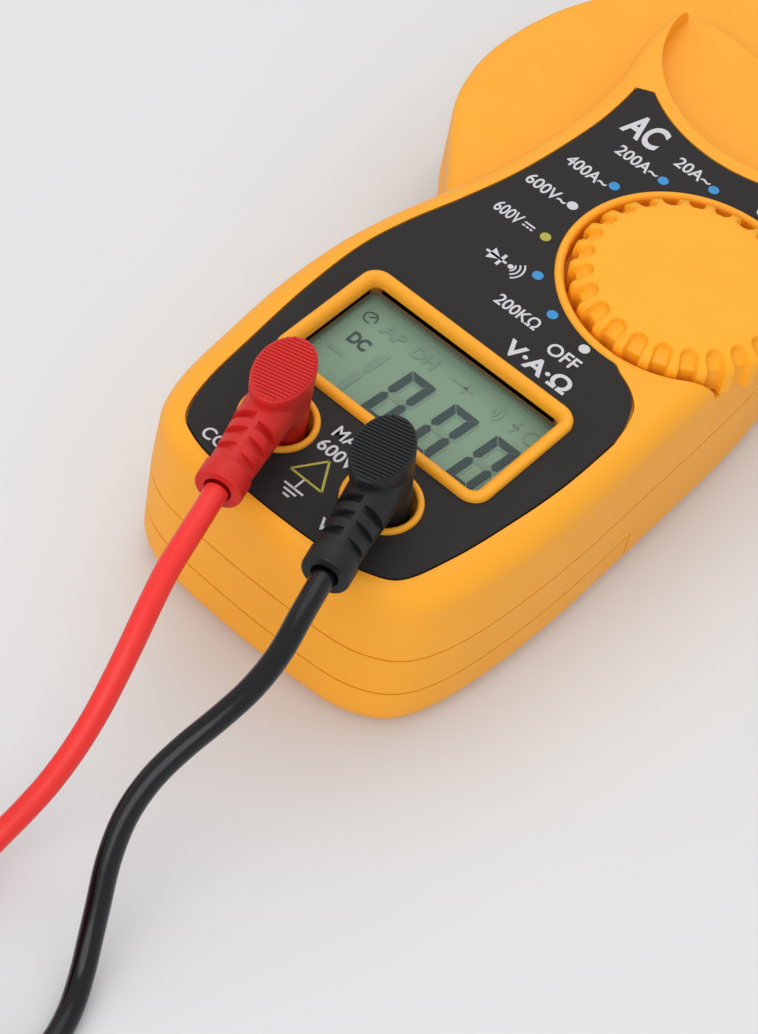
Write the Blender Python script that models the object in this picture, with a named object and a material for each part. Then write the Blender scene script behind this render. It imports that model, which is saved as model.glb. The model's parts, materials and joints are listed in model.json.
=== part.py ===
"""Clamp meter with its two test leads, modelled as separate sub-parts.

Frame: +Z out of the front panel, +Y towards the jaws. The origin is on the flat back of the case,
on the case's centreline and level with the dial. Lengths in this file are millimetres, and MM
turns them into metres when a mesh is made.
"""

import math

import bmesh
import bpy
from mathutils import Matrix, Vector

MM = 0.001
GAP = 0.3  # clearance between neighbouring pieces

# Heights in the case
SEAM_Z = 17.0  # parting plane of the two covers
SEAM_GAP = 0.15  # half the gap between two covers or two jaw shells
FACE_Z = 30.5  # front panel
WALL = 1.9  # wall of the covers
COVER_SEAM_Z = 9.0  # top edge of the battery cover
COVER_END_Y = -25.7  # upper end of the battery cover
BOARD_Z = 17.6
BOARD_THICK = 1.6

# Rotary dial
DIAL_X = 13.9
DIAL_R = 17.2
DIAL_TOP_Z = 33.4
DIAL_BOTTOM_Z = 26.7
DIAL_HUB_R = 4.2
DIAL_WELL_R = 17.9
DIAL_WELL_Z = 26.3
DIAL_GROOVES = 25
DIAL_TURN = math.radians(6.3)  # where the first groove is at rest
DIAL_GROOVE_DEPTH = 1.1
DIAL_RIM = 1.4  # width of the rim round the dial's well

# Jacks and test-lead plugs
JACK_X = 9.55
JACK_Y = -62.7
JACK_HOLE_R = 4.9
JACK_RING_R = 5.9
SOCKET_BORE_R = 2.3
LEAD_R = 1.7
LEAD_TURN = math.radians(17)  # how far the plugs point away from straight down
RELIEF_LENGTH = 20.5
RELIEF_Z = 37.5
PLUG_TOP_Z = 43.0
PLUG_STEM_R = 4.0
PLUG_FOOT_Z = 31.4  # underside of the oval head
PLUG_LEAN = 1.2  # how far the oval head sits ahead of the jack
PLUG_TILT = {"red": 0.0, "black": -1.1}  # how far the top of the head sits to the side of the jack

# Display
BEZEL = (-19.5, -54.4, 19.5, -31.1)
WINDOW = (-17.4, -52.4, 17.4, -33.0)

# Jaws
JAW_Y = 80.0  # centre of the jaw opening
JAW_INNER = (15.0, 20.0)  # half-axes of the opening
JAW_OUTER = (27.5, 32.5)  # half-axes of the outside
JAW_Z = (7.5, 24.5)
JAW_MID_Z = 16.0
BOSS_Y = 49.5  # centre of the round boss at the jaws' root
BOSS_R = 25.0
BOSS_STEP_R = 22.8
BOSS_TOP_Z = 26.7
ROOT_R = 20.5
PIVOT = (-12.5, 43.5)
HUB_R = 12.2
PIN_R = 2.0
FIXED_SCREW = (12.0, 38.0)
MOVING_SCREW = (-31.5, 22.0)
SPLIT_X = 0.3  # half the gap between the closed jaws

# Batteries, size AAA
CELL_R = 5.15
CELL_X = 5.7
CELL_Z = 7.45
CELL_Y = (-71.3, -26.8)

# Put-away coils of the leads
COIL_CENTRE = (-12.0, -168.0)
COIL_R = 19.0  # middle of the turns
COIL_BASE_Z = 0.95
COIL_HEIGHT = 6.65
COIL_PITCH_Z = 6.95

# Outline of the case, pair by pair: at the seam, and where the front panel's flat begins
CASE_OUTLINE = [
    ((0, -77.2), (0, -75.2)),
    ((12, -76.8), (10.5, -74.7)),
    ((18.9, -75.6), (16.2, -73.5)),
    ((24.2, -72.2), (20.4, -70.8)),
    ((27.2, -66), (22.6, -63.8)),
    ((28.9, -56), (24.1, -55)),
    ((29.7, -42), (25.4, -42)),
    ((29.5, -26), (25.3, -27)),
    ((29.1, -10), (24.8, -11)),
    ((28.6, 2), (24.4, 1)),
    ((27.5, 12), (23.4, 11.5)),
    ((26.2, 22), (22.2, 22)),
    ((25.4, 32), (21.4, 32)),
    ((25.4, 41), (21.6, 40.5)),
    ((24.2, 48.6), (21.2, 46.6)),
    ((19, 52.2), (17.5, 50.2)),
    ((10, 51.8), (10, 49.8)),
    ((0, 51.5), (0, 49.5)),
    ((-10, 51.8), (-10, 49.8)),
    ((-19, 52.2), (-17.5, 50.2)),
    ((-24.2, 48.6), (-21.2, 46.6)),
    ((-24.2, 40), (-20.6, 39.5)),
    ((-22.0, 30), (-17.6, 30)),
    ((-20.9, 20), (-16.4, 20)),
    ((-21.1, 10), (-16.7, 10)),
    ((-22.3, -1), (-17.9, -1)),
    ((-24.6, -11.5), (-20.0, -11)),
    ((-26.8, -21.5), (-22.4, -20.5)),
    ((-28.1, -31), (-23.8, -30)),
    ((-28.5, -42), (-23.6, -42)),
    ((-27.6, -54), (-22.5, -54)),
    ((-26.2, -65), (-21.3, -64.5)),
    ((-23.4, -72.0), (-19.2, -71.2)),
    ((-18.4, -75.6), (-15.6, -73.6)),
    ((-11.5, -76.8), (-10, -74.7)),
]
OUTLINE_STEPS = 3

# Each case screw: place and height of the underside of its head
CASE_SCREWS = [(-21.2, -61.0, 9.6), (21.6, -61.0, 9.6), (20.4, 25.0, 2.9), (-20.4, -19.5, 2.9)]
COVER_SCREW = (17.6, -40.0)
SCREW_HOLE_R = 1.5
SCREW_HEAD_HOLE_R = 3.1
SCREW_POST_R = 3.0
HOLD_BUTTON = (15.6, 24.6)
HOLD_R = 2.6

# Middle lines of the leads: from the plug to the coil, then from the coil to the probe
RED_ROUTE = [
    (-3.47, -82.59, 37.5), (-1.6, -88.8, 37.0), (-0.1, -94.9, 35.3), (1.3, -99.5, 33.1),
    (2.6, -103.8, 30.2), (3.6, -107.8, 26.9), (4.3, -111.7, 23.2), (4.5, -115.5, 19.3),
    (4.2, -119.3, 15.2), (3.4, -123.1, 11.2), (2.5, -126.6, 7.8), (1.8, -131.0, 4.4),
    (1.9, -136.0, 2.4), (3.4, -142.0, 1.75), (6.6, -148.5, 1.75), (11.0, -154.5, 1.8),
]
BLACK_ROUTE = [
    (15.63, -82.59, 37.5), (17.4, -88.6, 36.8), (18.9, -94.2, 35.0), (19.3, -99.5, 33.0),
    (18.6, -104.6, 30.6), (17.4, -109.6, 27.7), (16.5, -114.1, 24.2), (16.5, -118.3, 20.0),
    (17.7, -122.2, 15.1), (19.6, -125.6, 9.9), (21.2, -128.4, 6.2), (23.2, -131.8, 3.3),
    (25.3, -136.0, 1.95), (26.8, -141.0, 1.75), (27.0, -147.0, 2.4), (25.0, -154.0, 4.9),
    (21.3, -160.5, 7.8), (17.2, -165.8, 9.4),
]
RED_TAIL = [
    (-17.5, -195.6, 5.4), (-24.0, -201.0, 3.2), (-32.5, -208.5, 1.8), (-42.5, -212.8, 1.75),
    (-51.5, -211.8, 2.0), (-57.4, -208.6, 4.0), (-59.0, -203.8, 5.6), (-59.0, -200.3, 5.6),
]
BLACK_TAIL = [
    (-20.5, -193.4, 12.2), (-26.5, -197.0, 8.8), (-32.0, -200.6, 5.2), (-38.0, -203.4, 2.8),
    (-43.8, -202.2, 4.2), (-46.0, -197.8, 5.6), (-46.0, -194.3, 5.6),
]
PROBE_LENGTH = 80.0
PROBE_TIP = 19.0
PROBE_Z = 5.6
PROBES = {"red": (-59.0, -199.9), "black": (-46.0, -193.9)}

ORANGE = (0.93, 0.42, 0.05)
DARK = (0.03, 0.03, 0.03)
STEEL = (0.62, 0.62, 0.6)
BRASS = (0.72, 0.55, 0.25)


# ---------------------------------------------------------------- helpers


def new_material(name, colour, roughness=0.45, metallic=0.0, alpha=1.0):
    material = bpy.data.materials.new(name)
    material.use_nodes = True
    shader = material.node_tree.nodes["Principled BSDF"]
    shader.inputs["Base Color"].default_value = (*colour, 1)
    shader.inputs["Roughness"].default_value = roughness
    shader.inputs["Metallic"].default_value = metallic
    shader.inputs["Alpha"].default_value = alpha
    return material


def put_in_scene(name, data):
    item = bpy.data.objects.new(name, data)
    bpy.context.scene.collection.objects.link(item)
    return item


def place(name, shape, look=None):
    """A mesh object from a bmesh in millimetres."""
    bmesh.ops.recalc_face_normals(shape, faces=shape.faces)
    bmesh.ops.scale(shape, vec=(MM, MM, MM), verts=shape.verts)
    mesh = bpy.data.meshes.new(name)
    shape.to_mesh(mesh)
    shape.free()
    if look:
        mesh.materials.append(look)
    return put_in_scene(name, mesh)


def combine(target, tool, operation):
    """Boolean of two objects; the tool is used up."""
    step = target.modifiers.new("step", "BOOLEAN")
    step.object = tool
    step.operation = operation
    step.solver = "EXACT"
    state = bpy.context.evaluated_depsgraph_get()
    state.update()
    mesh = bpy.data.meshes.new_from_object(target.evaluated_get(state))
    target.modifiers.clear()
    target.data = mesh
    mesh.name = target.name
    bpy.data.objects.remove(tool)


def cut(target, *tools):
    for tool in tools:
        combine(target, tool, "DIFFERENCE")


def join(target, *tools):
    for tool in tools:
        combine(target, tool, "UNION")


def loft(rings, name="loft", look=None):
    """A closed solid through rings of equal point count, capped at both ends."""
    shape = bmesh.new()
    loops = [[shape.verts.new(point) for point in ring] for ring in rings]
    count = len(loops[0])
    for low, high in zip(loops, loops[1:]):
        for i in range(count):
            j = (i + 1) % count
            shape.faces.new((low[i], low[j], high[j], high[i]))
    shape.faces.new(loops[0])
    shape.faces.new(loops[-1])
    fill_caps(shape)
    return place(name, shape, look)


def fill_caps(shape):
    """Splits the many-sided caps, which may have hollow corners, into triangles."""
    shape.normal_update()
    caps = [f for f in shape.faces if len(f.verts) > 4]
    bmesh.ops.triangulate(shape, faces=caps, ngon_method="EAR_CLIP")


def at(outline, z):
    return [(x, y, z) for x, y in outline]


def prism(outline, z0, z1, name="prism", look=None):
    return loft([at(outline, z0), at(outline, z1)], name, look)


def box(x0, y0, z0, x1, y1, z1, name="box", look=None):
    return prism([(x0, y0), (x1, y0), (x1, y1), (x0, y1)], z0, z1, name, look)


def circle(x, y, r, count=32):
    turn = math.tau / count
    return [(x + r * math.cos(i * turn), y + r * math.sin(i * turn)) for i in range(count)]


def disc(x, y, r, z0, z1, count=32, name="disc", look=None):
    return prism(circle(x, y, r, count), z0, z1, name, look)


def turned(x, y, profile, count=32, name="turned", look=None):
    """A solid of revolution about a vertical axis, from (radius, z) pairs."""
    return loft([at(circle(x, y, r, count), z) for r, z in profile], name, look)


def arc(x, y, r, start, end, count):
    """Points on an arc, angles in degrees."""
    angles = [math.radians(start + (end - start) * i / count) for i in range(count + 1)]
    return [(x + r * math.cos(a), y + r * math.sin(a)) for a in angles]


def ellipse_arc(half_axes, start, end, count, grow=0.0):
    """Points on the jaws' ellipse, grown or shrunk, angles in degrees."""
    a, b = half_axes[0] + grow, half_axes[1] + grow
    angles = [math.radians(start + (end - start) * i / count) for i in range(count + 1)]
    return [(a * math.cos(t), JAW_Y + b * math.sin(t)) for t in angles]


def rounded_box(x0, y0, x1, y1, r, count=4):
    return (
        arc(x1 - r, y0 + r, r, -90, 0, count)
        + arc(x1 - r, y1 - r, r, 0, 90, count)
        + arc(x0 + r, y1 - r, r, 90, 180, count)
        + arc(x0 + r, y0 + r, r, 180, 270, count)
    )


def smooth(points, steps):
    """A closed Catmull-Rom curve through 2D points."""
    count = len(points)
    result = []
    for i in range(count):
        p0, p1, p2, p3 = (Vector(points[(i + k) % count]) for k in (-1, 0, 1, 2))
        for j in range(steps):
            result.append(tuple(spline_point(p0, p1, p2, p3, j / steps)))
    return result


def spline_point(p0, p1, p2, p3, t):
    return 0.5 * (
        2 * p1 + (p2 - p0) * t + (2 * p0 - 5 * p1 + 4 * p2 - p3) * t**2 + (3 * p1 - p0 - 3 * p2 + p3) * t**3
    )


def inset(outline, distance):
    """Moves a counter-clockwise outline inwards by a distance."""
    count = len(outline)
    result = []
    for i in range(count):
        here = Vector(outline[i])
        before = (here - Vector(outline[i - 1])).normalized()
        after = (Vector(outline[(i + 1) % count]) - here).normalized()
        normal = Vector((-(before.y + after.y), before.x + after.x)).normalized()
        lean = max(0.5, normal.dot(Vector((-before.y, before.x))))
        result.append(tuple(here + normal * distance / lean))
    return result


def case_ring(share, distance=0.0):
    """The case's outline between the seam (0) and the panel's flat (1), moved in by a distance."""
    mixed = [
        (s[0] + (t[0] - s[0]) * share, s[1] + (t[1] - s[1]) * share) for s, t in CASE_OUTLINE
    ]
    return inset(smooth(mixed, OUTLINE_STEPS), distance)


def cut_by_plane(item, point, normal):
    """Keeps the side that the normal points away from, and closes the cut."""
    shape = bmesh.new()
    shape.from_mesh(item.data)
    found = bmesh.ops.bisect_plane(
        shape,
        geom=shape.verts[:] + shape.edges[:] + shape.faces[:],
        dist=1e-7,
        plane_co=Vector(point) * MM,
        plane_no=normal,
        clear_outer=True,
    )
    edges = [e for e in found["geom_cut"] if isinstance(e, bmesh.types.BMEdge)]
    bmesh.ops.triangle_fill(shape, edges=edges, use_beauty=True)
    bmesh.ops.recalc_face_normals(shape, faces=shape.faces)
    shape.to_mesh(item.data)
    shape.free()


def tube(points, r, sides=8, name="tube", look=None):
    """A round bar along a path, as one closed solid."""
    path = [Vector(p) for p in points]
    side = None
    rings = []
    for i, here in enumerate(path):
        ahead = (path[min(i + 1, len(path) - 1)] - path[max(i - 1, 0)]).normalized()
        if side is None:
            side = ahead.orthogonal().normalized()
        side = (side - ahead * side.dot(ahead)).normalized()
        up = ahead.cross(side)
        turn = math.tau / sides
        rings.append(
            [tuple(here + r * (side * math.cos(k * turn) + up * math.sin(k * turn))) for k in range(sides)]
        )
    return loft(rings, name, look)


def along_axis(origin, direction, profile, count, name="spindle", look=None):
    """Round rings along a level axis, from (distance, radius) pairs."""
    ahead = Vector(direction).normalized()
    side = Vector((0, 0, 1)).cross(ahead).normalized()
    up = Vector((0, 0, 1))
    rings = []
    for distance, r in profile:
        centre = Vector(origin) + ahead * distance
        rings.append(
            [
                tuple(
                    centre
                    + side * r * math.cos(math.tau * k / count)
                    + up * r * math.sin(math.tau * k / count)
                )
                for k in range(count)
            ]
        )
    return loft(rings, name, look)


# ---------------------------------------------------------------- looks


def make_looks():
    return {
        "shell": new_material("shell", ORANGE, 0.42),
        "panel": new_material("panel", DARK, 0.5),
        "window": new_material("window", (0.8, 0.9, 0.85), 0.05, 0.0, 0.3),
        "lcd": new_material("lcd", (0.22, 0.31, 0.24), 0.2),
        "board": new_material("board", (0.02, 0.16, 0.05), 0.5),
        "black_plastic": new_material("black_plastic", DARK, 0.45),
        "white_plastic": new_material("white_plastic", (0.75, 0.75, 0.72), 0.5),
        "rubber": new_material("rubber", (0.2, 0.2, 0.2), 0.7),
        "steel": new_material("steel", STEEL, 0.3, 1.0),
        "brass": new_material("brass", BRASS, 0.3, 1.0),
        "copper": new_material("copper", (0.7, 0.25, 0.1), 0.35, 1.0),
        "ferrite": new_material("ferrite", (0.1, 0.1, 0.11), 0.6, 0.2),
        "cell": new_material("cell", (0.1, 0.2, 0.4), 0.4),
        "red_lead": new_material("red_lead", (0.7, 0.04, 0.03), 0.4),
        "black_lead": new_material("black_lead", (0.02, 0.02, 0.025), 0.4),
    }


# ---------------------------------------------------------------- covers


def label_outline(grow=0.0):
    """The printed panel: the case's flat, less the jaw boss, the dial and the side beside the dial."""
    pairs = list(zip(case_ring(1.0, 0.4), case_ring(1.0, 0.4 - grow)))
    left_side = [p for (x, y), p in pairs if x < 0 and y < 28.4]
    right_low = [p for (x, y), p in pairs if x >= 0 and y < -30.5]
    right_edge = [p for (x, y), p in pairs if x > 15 and 20.5 < y < 31.5]
    corner = [(24.3 + grow, -27.4), (22.9 + grow, -24.0 + grow), (20.6, -21.6 + grow), (17.6, -20.2 + grow)]
    ring = arc(DIAL_X, 0, DIAL_WELL_R + DIAL_RIM - grow, -84, -294 - 4 * grow, 26)
    boss = arc(0, BOSS_Y, BOSS_R + 0.3 - grow, -36 + 4 * grow, -125, 12)
    return left_side + right_low + corner + ring + right_edge + boss


def front_cover(looks):
    """Front half of the case: a shell with the display, dial, button and jack openings."""
    outer = [
        (0.0, 0.0, SEAM_Z + SEAM_GAP), (0.05, 0.0, 21.5), (0.13, 0.0, 26.0), (0.3, 0.0, 28.4),
        (0.55, 0.0, 29.7), (0.8, 0.0, 30.3), (1.0, 0.0, FACE_Z),
    ]
    inner = [(0.5, 2.0, 28.7), (0.35, WALL, 27.8), (0.1, WALL, 24.5), (0.0, WALL, SEAM_Z + SEAM_GAP)]
    shell = open_shell([(case_ring(s, d), z) for s, d, z in outer], [(case_ring(s, d), z) for s, d, z in inner])
    shell.name = "front_cover"
    shell.data.materials.append(looks["shell"])

    plate = disc(0, BOSS_Y, BOSS_R - 0.8, JAW_Z[1] + 0.2, BOSS_TOP_Z + 0.8, 48)
    combine(plate, prism(case_ring(0.0, 0.9), 20, 32), "INTERSECT")
    join(shell, plate)
    well = disc(DIAL_X, 0, DIAL_WELL_R + DIAL_RIM, 24.6, 30.0, 48)
    combine(well, prism(case_ring(0.0, 0.9), 20, 32), "INTERSECT")
    join(shell, well)
    for x, y, _ in CASE_SCREWS:
        join(shell, disc(x, y, SCREW_POST_R, SEAM_Z + 0.2, 29.5, 16))
    for x in (-JACK_X, JACK_X):
        join(shell, disc(x, JACK_Y, JACK_HOLE_R + 1.3, 24.8, 29.4, 24))

    cut(shell, disc(0, BOSS_Y, BOSS_STEP_R, BOSS_TOP_Z, 40, 64))
    cut(shell, disc(DIAL_X, 0, DIAL_WELL_R, DIAL_WELL_Z, 40, 64))
    cut(shell, prism(label_outline(0.3), FACE_Z - 0.9, 40))
    join(shell, prism(rounded_box(*BEZEL, 3.0), 29.0, FACE_Z + 0.9))
    for x in (-JACK_X, JACK_X):
        join(shell, disc(x, JACK_Y, JACK_RING_R, 29.0, FACE_Z + 0.5, 32))
    cut(shell, prism(rounded_box(*WINDOW, 1.2), 20, 40))
    for x in (-JACK_X, JACK_X):
        cut(shell, disc(x, JACK_Y, JACK_HOLE_R, 10, 40, 32))
    cut(shell, disc(*HOLD_BUTTON, HOLD_R + GAP, 20, 40, 24))
    cut(shell, disc(DIAL_X, 0, DIAL_HUB_R + 0.4, 20, 40, 24))
    for x, y, _ in CASE_SCREWS:
        cut(shell, disc(x, y, SCREW_HOLE_R, 10, 27.4, 12))
    cut(shell, disc(*PIVOT, PIN_R + GAP, 20, 26.0, 20))
    cut(shell, jaw_passage())
    return shell


def open_shell(outer, inner):
    """A tray: the outer skin, a rim and the inner skin as one closed body. Rings are (outline, z)."""
    shape = bmesh.new()
    loops = [[shape.verts.new((x, y, z)) for x, y in ring] for ring, z in outer + inner]
    count = len(loops[0])
    split = len(outer)
    pairs = [(k, k + 1) for k in range(split - 1)]
    pairs += [(k, k + 1) for k in range(split, len(loops) - 1)]
    pairs.append((len(loops) - 1, 0))
    for a, b in pairs:
        for i in range(count):
            j = (i + 1) % count
            shape.faces.new((loops[a][i], loops[a][j], loops[b][j], loops[b][i]))
    shape.faces.new(loops[split - 1])
    shape.faces.new(loops[split])
    fill_caps(shape)
    return place("shell", shape)


def jaw_passage():
    """The space through the left side and the top that the jaws and the trigger use."""
    low, high = JAW_Z[0] - 0.4, JAW_Z[1] + 0.4
    side = box(-50, -9.5, low, -15.5, 60, high)
    join(side, box(-30, 27.5, low, 30, 60, high))
    return side


def back_shell(top, name, looks):
    """The rounded back of the case up to a height, as an open tray."""
    outer = [(0.0, top), (0.3, 4.2), (1.1, 1.7), (2.2, 0.55), (3.6, 0.0)]
    inner = [(4.6, 1.9), (2.3, 4.0), (WALL, top)]
    shell = open_shell([(case_ring(0.0, d), z) for d, z in outer], [(case_ring(0.0, d), z) for d, z in inner])
    shell.name = name
    shell.data.materials.append(looks["shell"])
    return shell


def rear_cover(looks):
    """Rear half of the case, with the battery tray."""
    shell = back_shell(SEAM_Z - SEAM_GAP, "rear_cover", looks)
    tray = prism(case_ring(0.0, 0.9), COVER_SEAM_Z + SEAM_GAP, 14.2)
    cut_by_plane(tray, (0, -22.6, 0), (0, 1, 0))
    join(shell, tray)
    join(shell, box(-27.2, COVER_END_Y + 0.3, 1.0, 28.2, -22.6, 14.2))
    cut(shell, box(-40, -90, -5, 40, COVER_END_Y + 0.3, COVER_SEAM_Z + SEAM_GAP))
    cut(shell, box(-11.6, CELL_Y[0] - 1.6, -5, 11.6, COVER_END_Y + 0.5, 13.0))
    for x0, y0, x1 in ((-23.6, -54.5, -13.0), (13.0, -35.0, 23.6)):
        cut(shell, box(x0, y0, 10.8, x1, -28.0, 20))
    for x, y, head in CASE_SCREWS:
        join(shell, disc(x, y, 3.6, 9.4 if head > 5 else 1.0, SEAM_Z - 0.2, 16))
    join(shell, disc(*PIVOT, 5.4, 1.0, JAW_Z[0] - 0.4, 24))
    join(shell, box(0.1, -8.6, 1.0, 1.5, 26.0, 12.0))
    for x, y, head in CASE_SCREWS:
        cut(shell, disc(x, y, SCREW_HEAD_HOLE_R, -2, head + 2.1, 16), disc(x, y, SCREW_HOLE_R, -2, 20, 12))
    cut(shell, disc(*COVER_SCREW, SCREW_HOLE_R, 5, 13.2, 12))
    cut(shell, disc(*PIVOT, PIN_R + GAP, 3.5, 12, 20))
    cut(shell, jaw_passage())
    return shell


def battery_cover(looks):
    """Screwed cover that forms the lower back of the case."""
    shell = back_shell(COVER_SEAM_Z - SEAM_GAP, "battery_cover", looks)
    join(shell, disc(*COVER_SCREW, 4.4, 0.9, 6.0, 20))
    cut(shell, box(-40, COVER_END_Y, -5, 40, 70, 30))
    join(shell, box(-16, COVER_END_Y - 1.5, 0.6, 16, COVER_END_Y, 2.0))
    cut(shell, disc(*COVER_SCREW, SCREW_HEAD_HOLE_R, -2, 3.0, 16), disc(*COVER_SCREW, SCREW_HOLE_R, -2, 10, 12))
    return shell


def panel_label(looks):
    label = prism(label_outline(), FACE_Z - 0.6, FACE_Z, "panel_label", looks["panel"])
    x0, y0, x1, y1 = BEZEL
    cut(label, prism(rounded_box(x0 - GAP, y0 - GAP, x1 + GAP, y1 + GAP, 3.3), 20, 40))
    for x in (-JACK_X, JACK_X):
        cut(label, disc(x, JACK_Y, JACK_RING_R + GAP, 20, 40, 32))
    cut(label, disc(*HOLD_BUTTON, HOLD_R + GAP, 20, 40, 24))
    return label


# ---------------------------------------------------------------- display and board


def display(looks):
    prism(rounded_box(-19, -53.8, 19, -31.7, 1.5), 27.2, 28.4, "lcd_window", looks["window"])
    box(-18.6, -53.4, 24.1, 18.6, -32.1, 26.9, "lcd_glass", looks["lcd"])
    holder = prism(rounded_box(-20.6, -55.4, 20.6, -30.1, 1.5), 19.6, 26.6, "lcd_holder", looks["white_plastic"])
    cut(holder, box(-18.9, -53.7, 15, 18.9, -31.8, 40))
    box(-17.5, -53.0, 19.5, 17.5, -50.8, 23.8, "zebra_strip", looks["rubber"])


def board(looks):
    outline = [
        (-23.0, -67.0), (23.4, -67.0), (25.6, -52.0), (26.0, -20.0), (25.4, 0.0), (23.4, 20.0),
        (16.0, 26.4), (2.0, 26.4), (-0.6, 22.0), (-0.6, -10.6), (-22.0, -10.6), (-24.6, -30.0), (-24.6, -52.0),
    ]
    sheet = prism(outline, BOARD_Z, BOARD_Z + BOARD_THICK, "circuit_board", looks["board"])
    for x in (-JACK_X, JACK_X):
        cut(sheet, disc(x, JACK_Y, 3.7, 10, 30, 20))
    for x, y, _ in CASE_SCREWS:
        cut(sheet, disc(x, y, 3.6, 10, 30, 16))
    cut(sheet, disc(DIAL_X, 0, DIAL_HUB_R + 0.4, 10, 30, 20))
    turned(-6.0, -22.0, [(6.0, 17.3), (5.4, 16.4), (3.0, 15.6)], 20, "controller_chip", looks["black_plastic"])
    disc(18.0, -22.0, 4.2, 14.6, 17.3, 20, "ptc_thermistor", looks["cell"])
    box(6.0, -20.0, 13.6, 11.0, -15.0, 17.3, "trimmer", looks["white_plastic"])
    disc(-16.0, -14.8, 2.5, 10.4, 17.3, 16, "capacitor", looks["black_plastic"])
    disc(14.0, 6.0, 9.0, 2.3, 3.2, 28, "buzzer", looks["brass"])
    x, y = HOLD_BUTTON
    box(x - 1.6, y - 1.6, 19.5, x + 1.6, y + 1.6, 22.2, "hold_switch", looks["steel"])
    for side, name in ((-1, "jack_socket_com"), (1, "jack_socket_input")):
        socket = disc(side * JACK_X, JACK_Y, 3.4, 14.5, 24.2, 24, name, looks["brass"])
        cut(socket, disc(side * JACK_X, JACK_Y, SOCKET_BORE_R, 10, 40, 20))


def dial_outline(radius, depth_share=1.0):
    """Round knob with grooves, as a closed outline."""
    notch = (0.0, 0.9, 1.0, 0.9, 0.0)
    pitch = math.tau / DIAL_GROOVES
    outline = []
    for i in range(DIAL_GROOVES):
        for k, share in enumerate(notch):
            angle = DIAL_TURN + pitch * (i + (k - 2) / (len(notch) + 0.6))
            r = radius - DIAL_GROOVE_DEPTH * depth_share * share
            outline.append((DIAL_X + r * math.cos(angle), r * math.sin(angle)))
    return outline


def dial(looks):
    """Thumb dial with its rotor and detent."""
    rings = [
        at(dial_outline(DIAL_R), DIAL_BOTTOM_Z), at(dial_outline(DIAL_R), DIAL_TOP_Z - 2.4),
        at(dial_outline(DIAL_R - 1.1), DIAL_TOP_Z - 1.2), at(dial_outline(DIAL_R - 2.2, 0.8), DIAL_TOP_Z - 0.4),
        at(dial_outline(DIAL_R - 3.4, 0.0), DIAL_TOP_Z),
    ]
    knob = loft(rings, "dial_knob", looks["shell"])
    cut(knob, disc(DIAL_X, 0, 13.2, 20, 31.6, 40))
    join(knob, disc(DIAL_X, 0, DIAL_HUB_R, 22.4, 32.6, 20))
    rotor = disc(DIAL_X, 0, 11.0, 20.4, 24.2, 32, "switch_rotor", looks["white_plastic"])
    cut(rotor, disc(DIAL_X, 0, 4.5, 22.1, 30, 20))
    cut(rotor, box(DIAL_X + 5.0, -1.5, 22.2, DIAL_X + 12, 1.5, 30))
    box(DIAL_X - 7.5, -6.0, 19.6, DIAL_X + 4.0, -3.6, 20.1, "contact_wiper", looks["copper"])
    spring = [
        (DIAL_X + 5.6 + 3.2 * i / 40, 0.85 * math.cos(math.tau * i / 10), 23.2 + 0.7 * math.sin(math.tau * i / 10))
        for i in range(41)
    ]
    tube(spring, 0.16, 5, "detent_spring", looks["steel"])
    ball = bmesh.new()
    bmesh.ops.create_icosphere(ball, subdivisions=2, radius=0.95)
    bmesh.ops.translate(ball, vec=(DIAL_X + 10.2, 0, 23.3), verts=ball.verts)
    place("detent_ball", ball, looks["steel"])


def hold_button(looks):
    x, y = HOLD_BUTTON
    turned(x, y, [(HOLD_R, 22.8), (HOLD_R, FACE_Z + 0.6), (HOLD_R - 0.4, FACE_Z + 1.1)], 24, "hold_button",
           looks["shell"])


# ---------------------------------------------------------------- batteries and screws


def batteries(looks):
    for index, side in ((1, -1), (2, 1)):
        x = side * CELL_X
        low, high = CELL_Y
        flip = side > 0
        profile = [(0, CELL_R - 0.3), (0.3, CELL_R), (43.1, CELL_R), (43.4, CELL_R - 0.3), (43.4, 1.9), (44.2, 1.9)]
        start = (x, low, CELL_Z) if not flip else (x, high, CELL_Z)
        direction = (0, 1, 0) if not flip else (0, -1, 0)
        along_axis(start, direction, profile, 20, f"battery_cell_{index}", looks["cell"])
    wall_low, wall_high = CELL_Y[0] - 1.2, CELL_Y[1] + 0.8
    box(-9.6, wall_low, 3.4, 9.6, wall_low + 0.5, 11.6, "contact_link", looks["steel"])
    box(-9.4, wall_high - 0.1, 3.4, -1.6, wall_high + 0.4, 11.6, "contact_positive", looks["steel"])
    box(1.6, wall_high - 0.1, 3.4, 9.4, wall_high + 0.4, 11.6, "contact_negative", looks["steel"])


def screw(x, y, head_z, tip_z, name, looks):
    """Pan-head screw with a cross slot, pointing up into the case."""
    profile = [(2.2, head_z), (2.7, head_z + 0.5), (2.7, head_z + 1.8), (1.2, head_z + 1.8), (1.2, tip_z - 1.2),
               (0.3, tip_z)]
    item = turned(x, y, profile, 16, name, looks["steel"])
    cut(item, box(x - 1.4, y - 0.25, head_z - 1, x + 1.4, y + 0.25, head_z + 0.8))
    cut(item, box(x - 0.25, y - 1.4, head_z - 1, x + 0.25, y + 1.4, head_z + 0.8))


def screws(looks):
    for index, (x, y, head) in enumerate(CASE_SCREWS, 1):
        screw(x, y, head, 26.8, f"case_screw_{index}", looks)
    screw(*COVER_SCREW, 0.9, 12.8, "battery_cover_screw", looks)
    screw(*FIXED_SCREW, JAW_Z[0] + 0.9, 20.5, "fixed_jaw_screw", looks)
    screw(*MOVING_SCREW, JAW_Z[0] + 0.9, 20.5, "moving_jaw_screw", looks)


# ---------------------------------------------------------------- jaws


def fixed_jaw_outline():
    return (
        arc(0, BOSS_Y, ROOT_R, -89.0, 0, 10)
        + [(20.6, 54.0)]
        + ellipse_arc(JAW_OUTER, -42, 89.3, 16)
        + ellipse_arc(JAW_INNER, 88.8, -88.8, 18)
    )


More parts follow.
